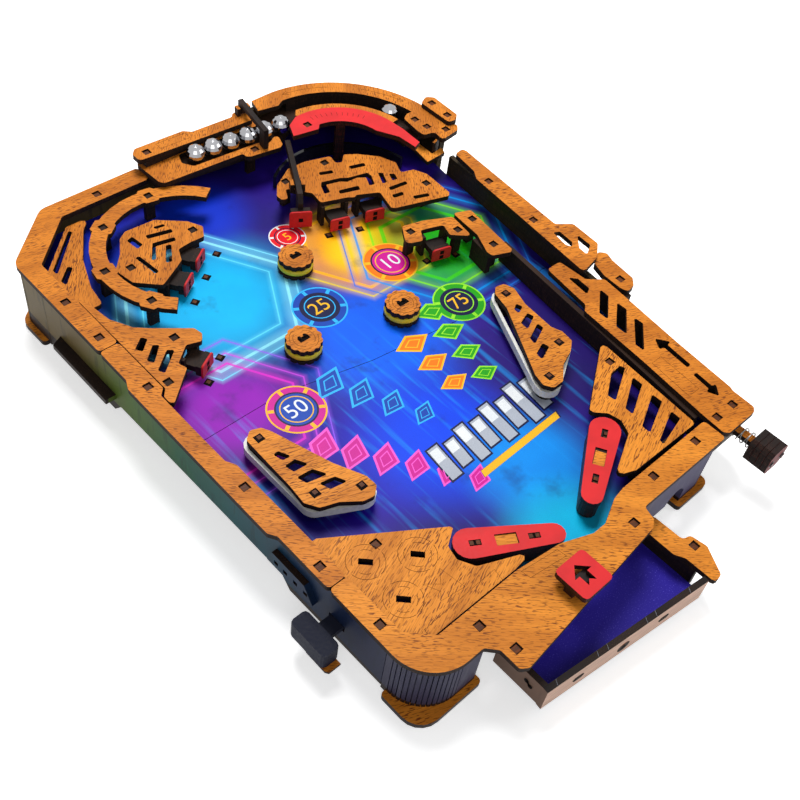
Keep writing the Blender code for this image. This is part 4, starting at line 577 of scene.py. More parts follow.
def drawn_line(points, z, closed, width=LINE):
    """A scored line: a fine burnt bead let into the face."""
    data = bpy.data.curves.new("line", "CURVE")
    data.dimensions = "3D"
    data.bevel_depth = width
    data.bevel_resolution = 0
    data.use_fill_caps = True
    spline = data.splines.new("POLY")
    spline.points.add(len(points) - 1)
    for point, (x, y) in zip(spline.points, points):
        point.co = (x, y, z - width * 0.55, 1.0)
    spline.use_cyclic_u = closed
    return as_mesh(data)


def scored_arcs(centre, z, steps, spans_of_radius):
    """Scored stretches of circles about one point, each stretch given in degrees."""
    return [drawn_line(ring_of(centre, radius, steps, math.radians(start), math.radians(end)),
                       z, False)
            for radius, spans in spans_of_radius.items() for start, end in spans]


def joined(things):
    bpy.ops.object.select_all(action="DESELECT")
    for thing in things:
        thing.select_set(True)
    bpy.context.view_layer.objects.active = things[0]
    bpy.ops.object.join()
    return bpy.context.view_layer.objects.active


def word(text, place, size, low, high, turn=0.0):
    """Plain figures, filled and given thickness."""
    bpy.ops.object.select_all(action="DESELECT")
    bpy.ops.object.text_add(location=(0, 0, 0))
    thing = bpy.context.view_layer.objects.active
    thing.data.body = text
    thing.data.size = size
    thing.data.align_x = "CENTER"
    thing.data.align_y = "CENTER"
    thing.data.extrude = (high - low) / 2
    thing.data.resolution_u = 4
    bpy.ops.object.convert(target="MESH")
    thing = bpy.context.view_layer.objects.active
    thing.data.transform(Matrix.Translation((place[0], place[1], (low + high) / 2))
                         @ Matrix.Rotation(turn, 4, "Z"))
    return thing


def block(place, size, turn=0.0, edge=0.15):
    """A small cut block with eased edges; `place` is the middle of its top."""
    bpy.ops.object.select_all(action="DESELECT")
    bpy.ops.mesh.primitive_cube_add(size=1.0, location=(0, 0, -0.5))
    thing = bpy.context.view_layer.objects.active
    bpy.ops.object.transform_apply(location=True, rotation=True, scale=True)
    thing.data.transform(Matrix.Diagonal((*size, 1.0)))
    ease = thing.modifiers.new("ease", "BEVEL")
    ease.width = edge
    ease.segments = 2
    bpy.ops.object.modifier_apply(modifier="ease")
    thing.data.transform(Matrix.Translation(place) @ Matrix.Rotation(turn, 4, "Z"))
    return thing


# Finishes on the parts

for build in (group_place, group_sheet, group_beech, group_char, group_pool, group_hexagon,
              group_print_grain):
    build()

ACROSS_VIEW, UP_VIEW, ALONG_LANE = math.radians(43), math.radians(-50), math.radians(26)
# Finish of each cut sheet: its top, the lowest veneered level, the way of its fibres, its wood
# and the nodes that wear it.
# In the wood column, the brighter beech carries painted light and the deeper beech painted shade.
PLY_SHEETS = {
    "front_ply": (RIM_TOP, None, ACROSS_VIEW, BEECH, ("frame_front",)),
    "left_ply": (RIM_TOP, None, ACROSS_VIEW, BEECH_SHADED, ("frame_left",)),
    "rear_ply": (RIM_TOP, None, math.radians(12), BEECH_SHADED, ("frame_rear",)),
    "lane_ply": (RIM_TOP, 15.6, ALONG_LANE, BEECH_SHADED, ("lane_cover",)),
    "high_ply": (HIGH_TOP, 16.2, ALONG_LANE, BEECH_SHADED, ("right_rear_plate",)),
    "guide_ply": (RIM_TOP, None, ALONG_LANE, BEECH_SHADED, ("guide_plate_inner",
                                                          "guide_plate_outer")),
    "wedge_ply": (RIM_TOP, None, ACROSS_VIEW, BEECH_SHADED, ("wedge_plate", "orbit_ring")),
    "inner_ply": (MID_TOP, None, UP_VIEW, BEECH_SHADED, ("orbit_inner_plate",)),
    "infill_ply": (INFILL_TOP, None, UP_VIEW, BEECH_SHADED, ("corner_infill",)),
    "island_ply": (RIM_TOP, None, UP_VIEW, BEECH_SHADED, ("island_plate",)),
    "apron_ply": (MID_TOP, None, math.radians(-20), BEECH, ("apron_left", "apron_right")),
    "sling_ply": (MID_TOP, None, math.radians(20), BEECH, ("sling_left", "sling_right")),
    "tray_low_ply": (TRAY_LOW_TOP, None, UP_VIEW, BEECH_SHADED, ("tray_low_plate",)),
    "tray_top_ply": (RAIL_TOP, None, UP_VIEW, BEECH_SHADED, ("tray_top_plate",)),
    "rail_ply": (OVER_TOP - 0.3, 25.6, UP_VIEW, BEECH_SHADED, ("return_rail",)),
    "end_ply": (0.0, None, ACROSS_VIEW, BEECH, ("tray_end_plate",)),
    "puck_ply": (INFILL_TOP, None, math.radians(10), BEECH_SHADED,
                 ("obstacle_rear", "obstacle_left", "obstacle_right")),
}
FINISH = {name: sheet_ply(name, top, floor, turn, wood)
          for name, (top, floor, turn, wood, _) in PLY_SHEETS.items()}
INKS = {"white": (0.80, 0.84, 0.88), "silver": (0.42, 0.46, 0.54), "magenta": (0.62, 0.010, 0.30),
        "pink": (0.90, 0.10, 0.62), "gold": (0.92, 0.50, 0.02), "orange": (0.90, 0.20, 0.008),
        "green": (0.02, 0.34, 0.010), "lime": (0.30, 0.78, 0.03), "blue": (0.006, 0.06, 0.42),
        "sky": (0.03, 0.46, 0.95), "night": (0.004, 0.005, 0.045), "scarlet": (0.74, 0.010, 0.020)}
for name, shade in INKS.items():
    FINISH["ink_" + name] = ink("ink_" + name, shade)
FINISH.update({
    "flipper_red": lacquer("flipper_red", RED, MID_TOP),
    "reset_red": lacquer("reset_red", RED, RESET_TOP),
    "rail_red": lacquer("rail_red", RED, OVER_TOP),
    "face_red": plain("target_red", (0.60, 0.022, 0.024), 0.5, sheen=0.15),
    "char": burnt("burnt_ply"),
    "mouth_ply": sheet_ply("mouth_ply", RIM_TOP, None, UP_VIEW, BEECH),
    "olive": burnt("lane_wall_ply", OLIVE, OLIVE_LIGHT, 0.55),
    "tenon": sheet_ply("tenon_ply", -900.0, -1000.0, 0.3, (0.075, 0.028, 0.012)),
    "beech": sheet_ply("beech_small", -900.0, -1000.0, ACROSS_VIEW, BEECH),
    # Near black for holes and slots drawn flat: the burnt cut edge together with painted shade in the
    # gap.
    "black": plain("burnt_hole_and_painted_shade", (0.006, 0.004, 0.004), 0.8, sheen=0.05),
    "navy": plain("navy_block", NAVY, 0.6, 0.0, 1.2, 0.05, sheen=0.10),
    "line": plain("scored_line", (0.030, 0.009, 0.004), 0.8, sheen=0.05),
    "steel": plain("polished_steel", (0.44, 0.44, 0.46), 0.12, 1.0, 0.05),
    "wire": plain("spring_wire", (0.30, 0.29, 0.28), 0.3, 1.0, 0.3),
    "cream_rubber": plain("cream_rubber", CREAM, 0.5),
    "yellow_rubber": plain("yellow_rubber", YELLOW, 0.42),
    "gloss": plain("black_gloss", (0.006, 0.006, 0.009), 0.09, 0.0, 0.05, 0.0),
    "field": field_print(),
    "violet_wall": wall_print("violet_wall", ((0.030, 0.030, 0.060), (0.050, 0.045, 0.110)),
                              "X", -100, 60, (0.12, 0.12, 0.17)),
    "teal_wall": wall_print("teal_wall", ((0.010, 0.009, 0.035), (0.006, 0.022, 0.060),
                                          (0.003, 0.070, 0.085), (0.008, 0.085, 0.040),
                                          (0.060, 0.120, 0.012), (0.120, 0.085, 0.030)),
                            "Y", -165, 200, (0.004, 0.010, 0.012)),
    "tray": tray_print(),
    "knob": knob_ply(),
})

# The nodes that wear each finish.
DRESS = {
    "flipper_red": ("flipper_left", "flipper_right"), "reset_red": ("reset_button",),
    "rail_red": ("rail_red_plate",), "knob": ("plunger",), "navy": ("button_left", "button_right"),
    "char": ("ball_gate", "bonus_lever", "target_left_rear", "target_left_front", "target_wedge",
             "target_island_left", "target_island_right", "target_right"),
    "olive": ("lane_outer_wall", "side_wall_right", "corner_wall_rear_right"),
    "steel": tuple("ball_%d" % i for i in range(1, 8)), "wire": ("plunger_spring",),
    "cream_rubber": ("sling_left_band", "sling_right_band"), "gloss": ("arch_wall",),
    "field": ("playfield_rear", "playfield_front"),
    "violet_wall": ("front_wall", "corner_wall_front_left"),
    "teal_wall": ("side_wall_left", "back_wall"), "tray": ("ball_tray",),
    **{name: sheet[-1] for name, sheet in PLY_SHEETS.items()},
}
for finish, names in DRESS.items():
    for name in names:
        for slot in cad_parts[name].material_slots:
            slot.material = FINISH[finish]

# The pieces

# Tab holes, by the height of the face that they are cut in.
HOLE, TENON_SIDE = 4.2, 3.5
TAB_PLACES = {
    RIM_TOP: ((-0.943, 0.595), (-0.946, 0.416), (-0.373, 0.962), (-0.944, 0.175), (-0.949, -0.265),
              (-0.957, -0.574), (-0.946, -0.791), (-0.641, -0.951), (-0.599, -1.052),
              (0.260, -1.007), (0.537, -0.943), (0.864, -0.943), (1.205, -0.930), (1.075, -0.930)),
    MID_TOP: ((-0.687, -0.606), (0.965, -0.577)),
    HIGH_TOP: ((1.443, 0.227), (1.400, -0.009)),
    FLAP_TOP: ((1.452, -0.372),),
    TRAY_LOW_TOP: ((0.530, 0.830),),
    RAIL_TOP: ((-0.02, 0.985), (1.430, 0.600), (1.440, 0.544), (1.515, 0.493)),
    OVER_TOP - 0.3: ((1.598, 0.620), (1.590, 0.535)),
    OVER_TOP: ((0.840, 0.775),),
    0.0: ((0.500, -1.140),),
}
FIELD_HOLES = ((1.013, 0.109), (0.843, 0.144), (0.545, 0.438), (0.721, 0.400), (-0.199, 0.518),
               (-0.356, 0.448), (-0.490, 0.212), (-0.631, 0.153), (-0.045, 0.587))
SLING_HOLES = ((-0.718, -0.149), (-0.530, -0.446), (-0.718, -0.386), (0.899, -0.174),
               (0.641, -0.500), (0.857, -0.425))
ORBIT_SHARE, ORBIT_RADIUS = (-0.238, 0.597), 44.0
LUG_ANGLES = (80, 126, 171, 213)
PUCKS = {"obstacle_rear": (0.219, 0.378), "obstacle_right": (0.436, 0.009),
         "obstacle_left": (-0.137, 0.079)}
# Each target's place and the way it faces, in degrees.
TARGETS = {"target_left_rear": (-0.194, 0.572, 33), "target_left_front": (-0.350, 0.503, 33),
           "target_wedge": (-0.610, 0.195, 28), "target_island_left": (0.615, 0.440, -18),
           "target_island_right": (0.825, 0.405, -18), "target_right": (0.902, 0.126, -15)}
# Each flipper's pivot and tip.
FLIPPERS = {"flipper_left": ((-0.370, -0.762), (-0.040, -0.884)),
            "flipper_right": ((0.592, -0.749), (0.239, -0.871))}
RAIL_CENTRE = spot(0.871, 0.595)
FACE_CLEARANCE = 2.5


def plan(shares):
    """An outline given in shares, as points on the deck."""
    return [tuple(spot(x, y))[:2] for x, y in shares]


def square(side, turn=0.0, centre=(0.0, 0.0), tall=None):
    across, up = side / 2, (tall or side) / 2
    corners = ((-across, -up), (across, -up), (across, up), (-across, up))
    return [(centre[0] + x * math.cos(turn) - y * math.sin(turn),
             centre[1] + x * math.sin(turn) + y * math.cos(turn)) for x, y in corners]


def tenons_in_holes():
    """The tongues of the upright plates, seen a little below each tab hole."""
    first = block((0, 0, 0), (TENON_SIDE, TENON_SIDE, 2.2), edge=0.25)
    ways = [turned(spot(x, y, top - TENON_SINK)) for top, places in TAB_PLACES.items()
            for x, y in places]
    settle(copies(first, ways), "tab_tenons", "cabinet", "tenon")


def dark_hole(side=HOLE, turn=0.0):
    """A hole drawn as a flat near-black square, burnt edge and painted shade in the gap, with the
    tongue inside it.
    """
    rim = coat(flat_shape([square(side, turn)], 0.0, PRINT), "black")
    tongue = coat(flat_shape([square(side * 0.50, turn, (0.3, 0.4))], PRINT, 2 * PRINT), "tenon")
    return joined([rim, tongue])


def holes_with_tongues():
    turns = (0.0, 0.0, -0.3, -0.3, 0.55, 0.55, 0.45, 0.45, 0.55)
    settle(copies(dark_hole(), [turned(spot(x, y, 0.01), turn)
                                for (x, y), turn in zip(FIELD_HOLES, turns)]),
           "field_tab_holes", "cabinet")
    settle(copies(dark_hole(), [turned(spot(x, y, MID_TOP + 0.01)) for x, y in SLING_HOLES]),
           "sling_tab_holes", "cabinet")


def orbit_lugs():
    """Square pads round the orbit ring's tab holes."""
    lugs = []
    for degrees in LUG_ANGLES:
        angle = math.radians(degrees)
        centre = spot(*ORBIT_SHARE) + Vector((math.cos(angle), math.sin(angle), 0)) * ORBIT_RADIUS
        ring = [(x * 0.5, y * 0.5) for x, y in
                ((-11.5, -7), (-7, -10.4), (7, -10.4), (11.5, -7), (11.5, 7), (7, 10.4),
                 (-7, 10.4), (-11.5, 7))]
        lug = flat_shape([ring, square(HOLE, -angle)], RIM_TOP - PLY + 0.02, RIM_TOP + 0.03)
        lug.data.transform(turned(centre.to_3d(), angle))
        lugs.append(lug)
    settle(joined(lugs), "orbit_lugs", "cabinet", "wedge_ply")


def rail_mouth():
    """The L-shaped plate and the cheek that take the ball from the rail to the lane."""
    outline = [(1.337, 0.545), (1.310, 0.448), (1.455, 0.452), (1.470, 0.478), (1.385, 0.472),
               (1.388, 0.545)]
    plate = flat_shape([plan(outline)], RIM_TOP - 2.7, RIM_TOP, 0.15)
    cheek = flat_shape([plan(((1.395, 0.474), (1.455, 0.484), (1.450, 0.492), (1.393, 0.482)))],
                       RIM_TOP - 1.0, RAIL_TOP - PLY - 0.2)
    settle(joined([plate, cheek]), "rail_mouth", "cabinet", "mouth_ply")


def obstacle_trim():
    """Yellow bands, lobed feet and the scored tops of the three round obstacles."""
    for name, share in PUCKS.items():
        place = spot(*share)
        bpy.ops.object.select_all(action="DESELECT")
        bpy.ops.mesh.primitive_torus_add(major_segments=48, minor_segments=12,
                                         major_radius=8.1, minor_radius=1.55)
        band = bpy.context.view_layer.objects.active
        band.data.transform(turned((place.x, place.y, 4.3), 0.0, (1, 1, 1.12)))
        bpy.ops.object.shade_smooth()
        settle(band, name + "_yellow_band", "cabinet", "yellow_rubber")
        lobes = [(place.x + r * math.cos(a), place.y + r * math.sin(a)) for r, a in
                 ((9.4 - (1.0 if i % 4 == 0 else 0.0), 2 * math.pi * i / 48) for i in range(48))]
        settle(flat_shape([lobes], 0.3, 2.3, 0.15), name + "_foot", "cabinet", "char")
        lines = scored_arcs(place, INFILL_TOP, 14,
                            {7.4: ((15, 80), (100, 165), (195, 260), (280, 345)),
                             5.6: ((5, 60), (120, 240), (300, 355))})
        settle(joined(lines), name + "_score", "cabinet", "line")
        # The two small holes and the slot are drawn as near-black shapes: burnt edges with painted
        # shade inside.
        marks = [flat_shape([ring_of((place.x + dx, place.y + 1.7), 1.0, 16)], INFILL_TOP,
                            INFILL_TOP + PRINT) for dx in (-1.7, 1.7)]
        marks.append(flat_shape([square(6.3, 0.0, place, PLY)], INFILL_TOP - 2.6,
                                INFILL_TOP - TENON_SINK))
        settle(joined(marks), name + "_slot", "cabinet", "black")


def face_plate(width, low, high, holes):
    """A red face plate with eased upper corners and dark tab holes, standing on its edge."""
    half, ease = width / 2, 1.4
    outline = [(-half, low), (half, low), (half, high - ease), (half - ease * 0.3, high - ease * 0.3),
               (half - ease, high), (-half + ease, high), (-half + ease * 0.3, high - ease * 0.3),
               (-half, high - ease)]
    plate = coat(flat_shape([outline], 0.0, 1.1, 0.12), "face_red")
    # The tab holes are near-black squares: burnt edges with painted shade inside.
    marks = [coat(flat_shape([square(2.5, 0.0, hole)], 1.1, 1.1 + PRINT), "black")
             for hole in holes]
    return joined([plate] + marks)


def target_faces():
    """The red faces; each starts high enough to clear the field when its target swings."""
    for name, (x, y, degrees) in TARGETS.items():
        angle = math.radians(degrees)
        front = Vector((math.sin(angle), -math.cos(angle), 0.0)) * (PLY / 2 + 0.02)
        plate = face_plate(11.4, FACE_CLEARANCE, 10.2, ((0.0, 4.4), (0.0, 7.7)))
        plate.data.transform(upright(spot(x, y) + front, angle))
        settle(plate, name + "_face", name + "_body", None)
    foot, head = spot(0.470, 0.540), spot(0.715, 0.790)
    along = (head - foot).normalized()
    plate = face_plate(12.6, 1.6, 12.0, ((0.0, 6.6),))
    plate.data.transform(upright(foot - along * (PLY + 0.02), math.atan2(-along.x, along.y)))
    settle(plate, "bonus_target_face", "bonus_lever_body", None)


def flipper_trim():
    """The beech seen through each flipper's window and the notched tongues in its slots."""
    for name, (pivot, tip) in FLIPPERS.items():
        pivot, tip = spot(*pivot), spot(*tip)
        along = tip - pivot
        angle, reach = math.atan2(along.y, along.x), along.length
        window = flat_shape([square(reach * 0.25, 0.0, (reach * 0.43, 0.0), 5.5)],
                            MID_TOP - TENON_SINK, MID_TOP - TENON_SINK + PRINT)
        window.data.transform(turned(pivot, angle))
        settle(window, name + "_window", name + "_body", "beech")
        parts = []
        for share in (0.06, 0.76):
            centre = (share * reach, 0.0)
            # Each slot's floor is a near-black sheet: painted shade with the burnt edge.
            parts.append(coat(flat_shape([square(5.3, 0.0, centre, 2.8)], MID_TOP - TENON_SINK,
                                         MID_TOP - TENON_SINK + PRINT), "black"))
            for dx in (-1.5, 1.5):
                parts.append(coat(flat_shape([square(1.7, 0.0, (centre[0] + dx, 0.25), 2.0)],
                                             MID_TOP - TENON_SINK + PRINT, MID_TOP - 0.25, 0.1),
                                  "tenon"))
        parts = joined(parts)
        parts.data.transform(turned(pivot, angle))
        settle(parts, name + "_tongues", name + "_body", None)


def plunger_trim():
    """Wire loops on the rod and the knob's shiny bolts."""
    x, level, knob_face = 118.5, 5.5, -185.35
    bpy.ops.object.select_all(action="DESELECT")
    bpy.ops.mesh.primitive_torus_add(major_segments=32, minor_segments=8, major_radius=4.0,
                                     minor_radius=0.32)
    first = bpy.context.view_layer.objects.active
    bpy.ops.object.shade_smooth()
    ways = [Matrix.Translation((x, y, level)) @ Matrix.Rotation(math.radians(lean), 4, "X")
            for y, lean in ((-164.6, 104), (-166.4, 76), (-168.2, 106), (-170.0, 80))]
    settle(copies(first, ways), "knob_spring_loops", "plunger_body", "wire")
    bpy.ops.object.select_all(action="DESELECT")
    bpy.ops.mesh.primitive_uv_sphere_add(segments=20, ring_count=10, radius=1.9)
    first = bpy.context.view_layer.objects.active
    bpy.ops.object.shade_smooth()
    ways = [Matrix.Translation((x + dx, knob_face, level)) @ Matrix.Diagonal((1, 0.45, 1, 1))
            for dx in (-4.5, 4.5)]
    settle(copies(first, ways), "knob_bolts", "plunger_body", "gloss")


def button_trim():
    """The beech tongue under each side button."""
    y, level = -0.670 * ALONG - 6.0, -12.6
    for side, outer, sign in (("left", -115.0, -1), ("right", 147.5, 1)):
        lug = flat_shape([[(-3.6, -7.5), (2.6, -7.5), (3.6, -6.0), (3.6, 6.0), (2.6, 7.5),
                           (-3.6, 7.5)]], 0.0, 1.5, 0.1)
        lug.data.transform(turned((outer - sign * 3.7, y, level), 0.0 if sign > 0 else math.pi))
        settle(lug, "button_%s_tongue" % side, "button_%s_body" % side, "beech")


def rings_round_slots():
    """Scored rings, a plain arrow and an empty frame on the left apron."""
    lines = []
    for x, y in ((-0.781, -0.630), (-0.584, -0.699), (-0.780, -0.771)):
        lines += scored_arcs(spot(x, y), MID_TOP, 12,
                             {8.6: ((4, 84), (96, 174), (186, 264), (276, 354)),
                              6.0: ((20, 70), (110, 160), (200, 250), (290, 340))})
    for outline in (((-0.810, -0.865), (-0.383, -0.858), (-0.393, -0.895), (-0.819, -0.899)),
                    ((-0.670, -0.770), (-0.610, -0.800), (-0.560, -0.765), (-0.540, -0.845),
                     (-0.665, -0.835), (-0.635, -0.815))):
        lines.append(drawn_line(plan(outline), MID_TOP, True))
    settle(joined(lines), "apron_score", "cabinet", "line")


def scored_frames():
    lines = []
    for z, outline in ((RIM_TOP, ((-0.320, -0.913), (-0.118, -0.929), (-0.110, -0.957),
                                  (-0.312, -0.941))),
                       (RIM_TOP, ((1.100, -0.672), (1.172, -0.672), (1.152, -0.828),
                                  (1.072, -0.826))),
                       (RAIL_TOP, ((0.060, 1.003), (0.060, 0.973), (0.250, 0.967),
                                   (0.250, 0.997)))):
        lines.append(drawn_line(plan(outline), z, True))
    for start, end in ((16, 40), (84, 58)):
        lines.append(drawn_line(ring_of(RAIL_CENTRE, 65.0, 16, math.radians(start),
                                        math.radians(end)), RAIL_TOP, False))
        tip = math.radians(start)
        way = math.copysign(1.0, end - start)
        for radius in (63.0, 67.0):
            lines.append(drawn_line([(RAIL_CENTRE.x + r * math.cos(a), RAIL_CENTRE.y + r * math.sin(a))
                                     for r, a in ((65.0, tip), (radius, tip + way * 0.06))],
                                    RAIL_TOP, False))
    for i in range(11):
        a = math.radians(30 + 5.5 * i)
        lines.append(drawn_line([(RAIL_CENTRE.x + r * math.cos(a), RAIL_CENTRE.y + r * math.sin(a))
                                 for r in (31.5, 34.5)], OVER_TOP, False))
    settle(joined(lines), "label_frames", "cabinet", "line")


def score_disc(figure, share, radius, rim, face, pale):
    """A plain number on a plain printed disc."""
    centre = spot(*share)
    inks = [coat(flat_shape([ring_of((0, 0), radius, 56)], 0.0, PRINT), "ink_" + pale),
            coat(flat_shape([ring_of((0, 0), radius * 0.94, 56)], PRINT, 1.5 * PRINT),
                 "ink_" + rim),
            coat(flat_shape([ring_of((0, 0), radius * 0.72, 48)], 1.5 * PRINT, 2 * PRINT),
                 "ink_night"),
            coat(flat_shape([ring_of((0, 0), radius * 0.66, 48)], 2 * PRINT, 2.5 * PRINT),
                 "ink_" + face),
            coat(flat_shape([ring_of((0, 0), radius * 0.56, 48), ring_of((0, 0), radius * 0.52, 48)],
                            2.5 * PRINT, 3 * PRINT), "ink_" + pale)]
    for i in range(6):
        a = math.pi * i / 3
        mark = flat_shape([square(radius * 0.13, 0.0, (0, 0), radius * 0.20)], 1.5 * PRINT,
                          2 * PRINT)
        mark.data.transform(turned((radius * 0.83 * math.sin(a), radius * 0.83 * math.cos(a), 0),
                                   -a))
        inks.append(coat(mark, "ink_" + pale))
    number = word(figure, (0, 0), radius * (0.80 if len(figure) < 3 else 0.58), 2.5 * PRINT,
                  3.5 * PRINT)
    inks.append(coat(number, "ink_gold" if pale != "gold" else "ink_white"))
    disc = joined(inks)
    disc.data.transform(turned(centre))
    settle(disc, "score_disc_" + figure, "cabinet", None)


def lozenge_row(name, start, end, count, small, large, outline, fill):
    """A row of printed lozenges that grow along their way."""
    a, b = spot(*start), spot(*end)
    angle = math.atan2((b - a).y, (b - a).x)
    marks = []
    for i in range(count):
        size = small + (large - small) * i / (count - 1)
        centre = a.lerp(b, i / (count - 1))
        shape = [(-size * 0.62, 0), (-size * 0.1, -size), (size * 0.62, 0), (-size * 0.1, size)]
        inner = [(x * 0.80, y * 0.80) for x, y in shape]
        core = [(x * 0.50, y * 0.50) for x, y in shape]
        for rings, finish, low in (((shape, inner), outline, 0.0), ((inner,), fill, 0.0),
                                   ((core, [(x * 0.8, y * 0.8) for x, y in core]), outline, PRINT)):
            mark = coat(flat_shape(rings, low, low + PRINT), "ink_" + finish)
            mark.data.transform(turned((centre.x, centre.y, 0.005), angle))
            marks.append(mark)
    settle(joined(marks), name, "cabinet", None)


def striped_banner():
    """A plain banner of slanting silver bars with a gold rule under it."""
    marks = []
    for i in range(8):
        x = -37.0 + 9.6 * i
        tall = (24.0, 18.0)[i % 2] * (0.82 + 0.04 * i)
        shape = [(x, -tall / 2), (x + 6.6, -tall / 2), (x + 9.6, tall / 2), (x + 3.0, tall / 2)]
        edge = [(x - 1.2, -tall / 2 - 1.0), (x + 7.4, -tall / 2 - 1.0),
                (x + 10.8, tall / 2 + 1.0), (x + 2.2, tall / 2 + 1.0)]
        shine = [(x + 1.9, tall * 0.06), (x + 7.2, tall * 0.06), (x + 8.5, tall * 0.43),
                 (x + 3.2, tall * 0.43)]
        for outline, finish, low in ((edge, "night", 0), (shape, "silver", 1), (shine, "white", 2)):
            marks.append(coat(flat_shape([outline], low * PRINT, (low + 1) * PRINT),
                              "ink_" + finish))
    rule = [(-24, -18.6), (32, -18.6), (33.2, -14.8), (-22.8, -14.8)]
    marks.append(coat(flat_shape([[(x * 1.03, y * 1.05 + 0.9) for x, y in rule]], 0.0, PRINT),
                      "ink_night"))
    marks.append(coat(flat_shape([rule], PRINT, 2 * PRINT), "ink_gold"))
    banner = joined(marks)
    banner.data.transform(turned(spot(0.255, -0.490, 0.02), math.radians(2)))
    settle(banner, "striped_banner", "cabinet", None)


def ball_tray_trim():
    """Hexagonal slots and the light wood button in the tray's outer wall."""
    left, right = spot(-0.564, -1.163), spot(0.400, -1.235)
    run = right - left
    angle = math.atan2(run.y, run.x)
    marks = []
    for share in (0.20, 0.73):
        hexagon = [(-3.4, 0), (-2.2, 1.7), (2.2, 1.7), (3.4, 0), (2.2, -1.7), (-2.2, -1.7)]
        core = [(x * 0.62, y * 0.5) for x, y in hexagon]
        # The hexagonal slots are near-black shapes: burnt cut edges with painted shade inside.
        slot = joined([coat(flat_shape([hexagon], 0.0, 0.10), "black"),
                       coat(flat_shape([core], 0.10, 0.14), "tenon")])
        slot.data.transform(upright(left + run * share + Vector((0, 0, -7.6)), angle))
        marks.append(slot)
    button = joined([coat(flat_shape([ring_of((0, 0), 3.5, 36)], 0.0, 0.10), "beech"),
                     coat(flat_shape([[(-1.7, -1.3), (1.7, -1.3), (0.2, 2.0)]], 0.10, 0.16),
                          "black")])
    button.data.transform(upright(left + run * 0.475 + Vector((0, 0, -8.2)), angle))
    marks.append(button)
    bone = joined([coat(flat_shape([ring_of((dx, 0), 1.2, 20)], 0.0, 0.1), "black")
                   for dx in (-1.5, 1.5)]
                  + [coat(flat_shape([square(3.0, 0, (0, 0), 1.3)], 0.0, 0.1), "black")])
    wall = left + run.normalized() * 0.28
    bone.data.transform(Matrix.Translation((wall.x - 0.02, -182.5, -6.5))
                        @ Matrix.Rotation(-math.pi / 2, 4, "Z")
                        @ Matrix.Rotation(math.pi / 2, 4, "X") @ Matrix.Rotation(-0.6, 4, "Z"))
    marks.append(bone)
    settle(joined(marks), "tray_wall_marks", "cabinet", None)
    ticks = [drawn_line([(left.x + run.x * f + 1.5 * u, left.y + run.y * f + 0.3 + 2.4 * u)
                         for u in (0.0, 1.0)], 0.0, False, 0.10)
             for f in (0.06, 0.30, 0.36, 0.60, 0.66, 0.88)]
    settle(joined(ticks), "tray_wall_ticks", "cabinet", "ink_silver")


rail_mouth()
tenons_in_holes()
holes_with_tongues()
orbit_lugs()
obstacle_trim()
target_faces()
flipper_trim()
plunger_trim()
button_trim()
rings_round_slots()
scored_frames()
for disc in (("50", (-0.405, -0.085), 15.0, "magenta", "blue", "gold"),
             ("25", (0.135, 0.195), 15.0, "blue", "night", "sky"),
             ("10", (0.675, 0.215), 15.5, "orange", "magenta", "gold"),
             ("75", (0.760, -0.060), 14.5, "green", "night", "lime"),
             ("5", (0.350, 0.515), 10.5, "scarlet", "scarlet", "white")):
    score_disc(*disc)
lozenge_row("violet_lozenges", (-0.450, -0.240), (0.000, -0.600), 6, 12.0, 8.5, "pink", "magenta")
lozenge_row("blue_lozenges", (-0.170, -0.070), (0.070, -0.330), 4, 12.0, 8.5, "sky", "blue")
lozenge_row("orange_lozenges", (0.345, -0.105), (0.330, -0.300), 3, 11.0, 9.0, "gold", "orange")
lozenge_row("green_lozenges", (0.590, -0.040), (0.500, -0.330), 4, 11.0, 8.5, "lime", "green")
striped_banner()
ball_tray_trim()

# Stage, light and camera


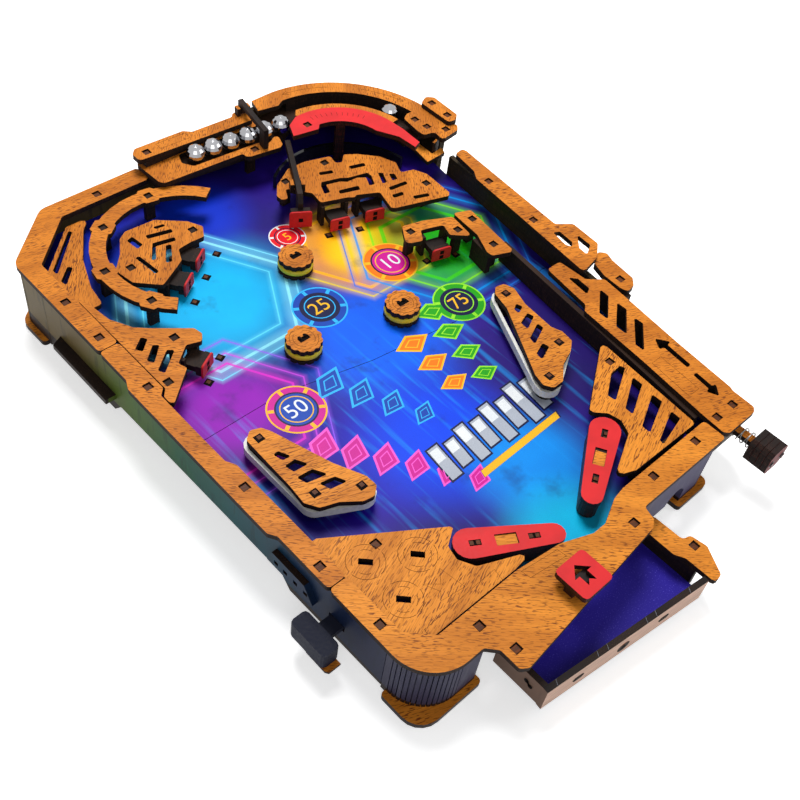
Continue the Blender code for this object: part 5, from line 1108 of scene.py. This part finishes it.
def stage():
    bpy.ops.object.select_all(action="DESELECT")
    bpy.ops.mesh.primitive_plane_add(size=8.0, location=(0, 0, -0.0002))
    floor = bpy.context.view_layer.objects.active
    floor.name = "floor"
    made, s, shader = finish_of("pale_floor")
    path = s.add("LightPath")
    seen = s.math("MAXIMUM", path.outputs["Is Camera Ray"],
                  s.math("MAXIMUM", path.outputs["Is Glossy Ray"],
                         path.outputs["Is Transmission Ray"]))
    shader.inputs["Base Color"].default_value = (0.92, 0.92, 0.92, 1.0)
    shader.inputs["Roughness"].default_value = 0.9
    glow = s.add("Emission")
    glow.inputs["Strength"].default_value = 0.55
    both = s.add("AddShader")
    s.links.new(shader.outputs[0], both.inputs[0])
    s.links.new(glow.outputs[0], both.inputs[1])
    choose = s.add("MixShader")
    s.feed(choose.inputs[0], seen)
    s.links.new(shader.outputs[0], choose.inputs[1])
    s.links.new(both.outputs[0], choose.inputs[2])
    s.links.new(choose.outputs[0], s.nodes["Material Output"].inputs["Surface"])
    floor.data.materials.append(made)


def lamp(name, place, aim, size, power):
    data = bpy.data.lights.new(name, "AREA")
    data.shape = "DISK"
    data.size = size
    data.energy = power
    thing = bpy.data.objects.new(name, data)
    bpy.context.scene.collection.objects.link(thing)
    thing.location = place
    thing.rotation_euler = (Vector(aim) - Vector(place)).to_track_quat("-Z", "Y").to_euler()


def light_and_camera():
    world = bpy.data.worlds.new("studio")
    bpy.context.scene.world = world
    world.use_nodes = True
    s = Shader(world.node_tree)
    back = s.nodes["Background"]
    path = s.add("LightPath")
    seen = s.math("MAXIMUM", path.outputs["Is Camera Ray"],
                  s.math("MAXIMUM", path.outputs["Is Glossy Ray"],
                         path.outputs["Is Transmission Ray"]))
    back.inputs["Color"].default_value = (1.0, 1.0, 1.0, 1.0)
    s.feed(back.inputs["Strength"], s.span(seen, 0.0, 1.0, SKY_LIGHT, 1.0))
    lamp("key", (0.25, 0.40, 1.15), (0, 0, 0), 0.55, 13)
    lamp("fill", (-0.9, -0.9, 1.1), (0, 0, 0), 1.0, 5)
    lamp("side", (0.9, -0.6, 0.7), (0, 0, 0), 0.8, 3.5)
    scene = bpy.context.scene
    scene.view_settings.view_transform = "Standard"
    data = bpy.data.cameras.new("camera")
    data.lens = CAMERA_LENS
    data.sensor_width = 36.0
    data.clip_start = 0.01
    eye = bpy.data.objects.new("camera", data)
    scene.collection.objects.link(eye)
    right, up = Vector(CAMERA_RIGHT), Vector(CAMERA_UP)
    turn = Matrix((right, up, right.cross(up))).transposed().to_4x4()
    eye.matrix_world = (DECK @ Matrix.Translation(Vector(CAMERA_EYE) * MM) @ turn)
    scene.camera = eye


stage()
light_and_camera()
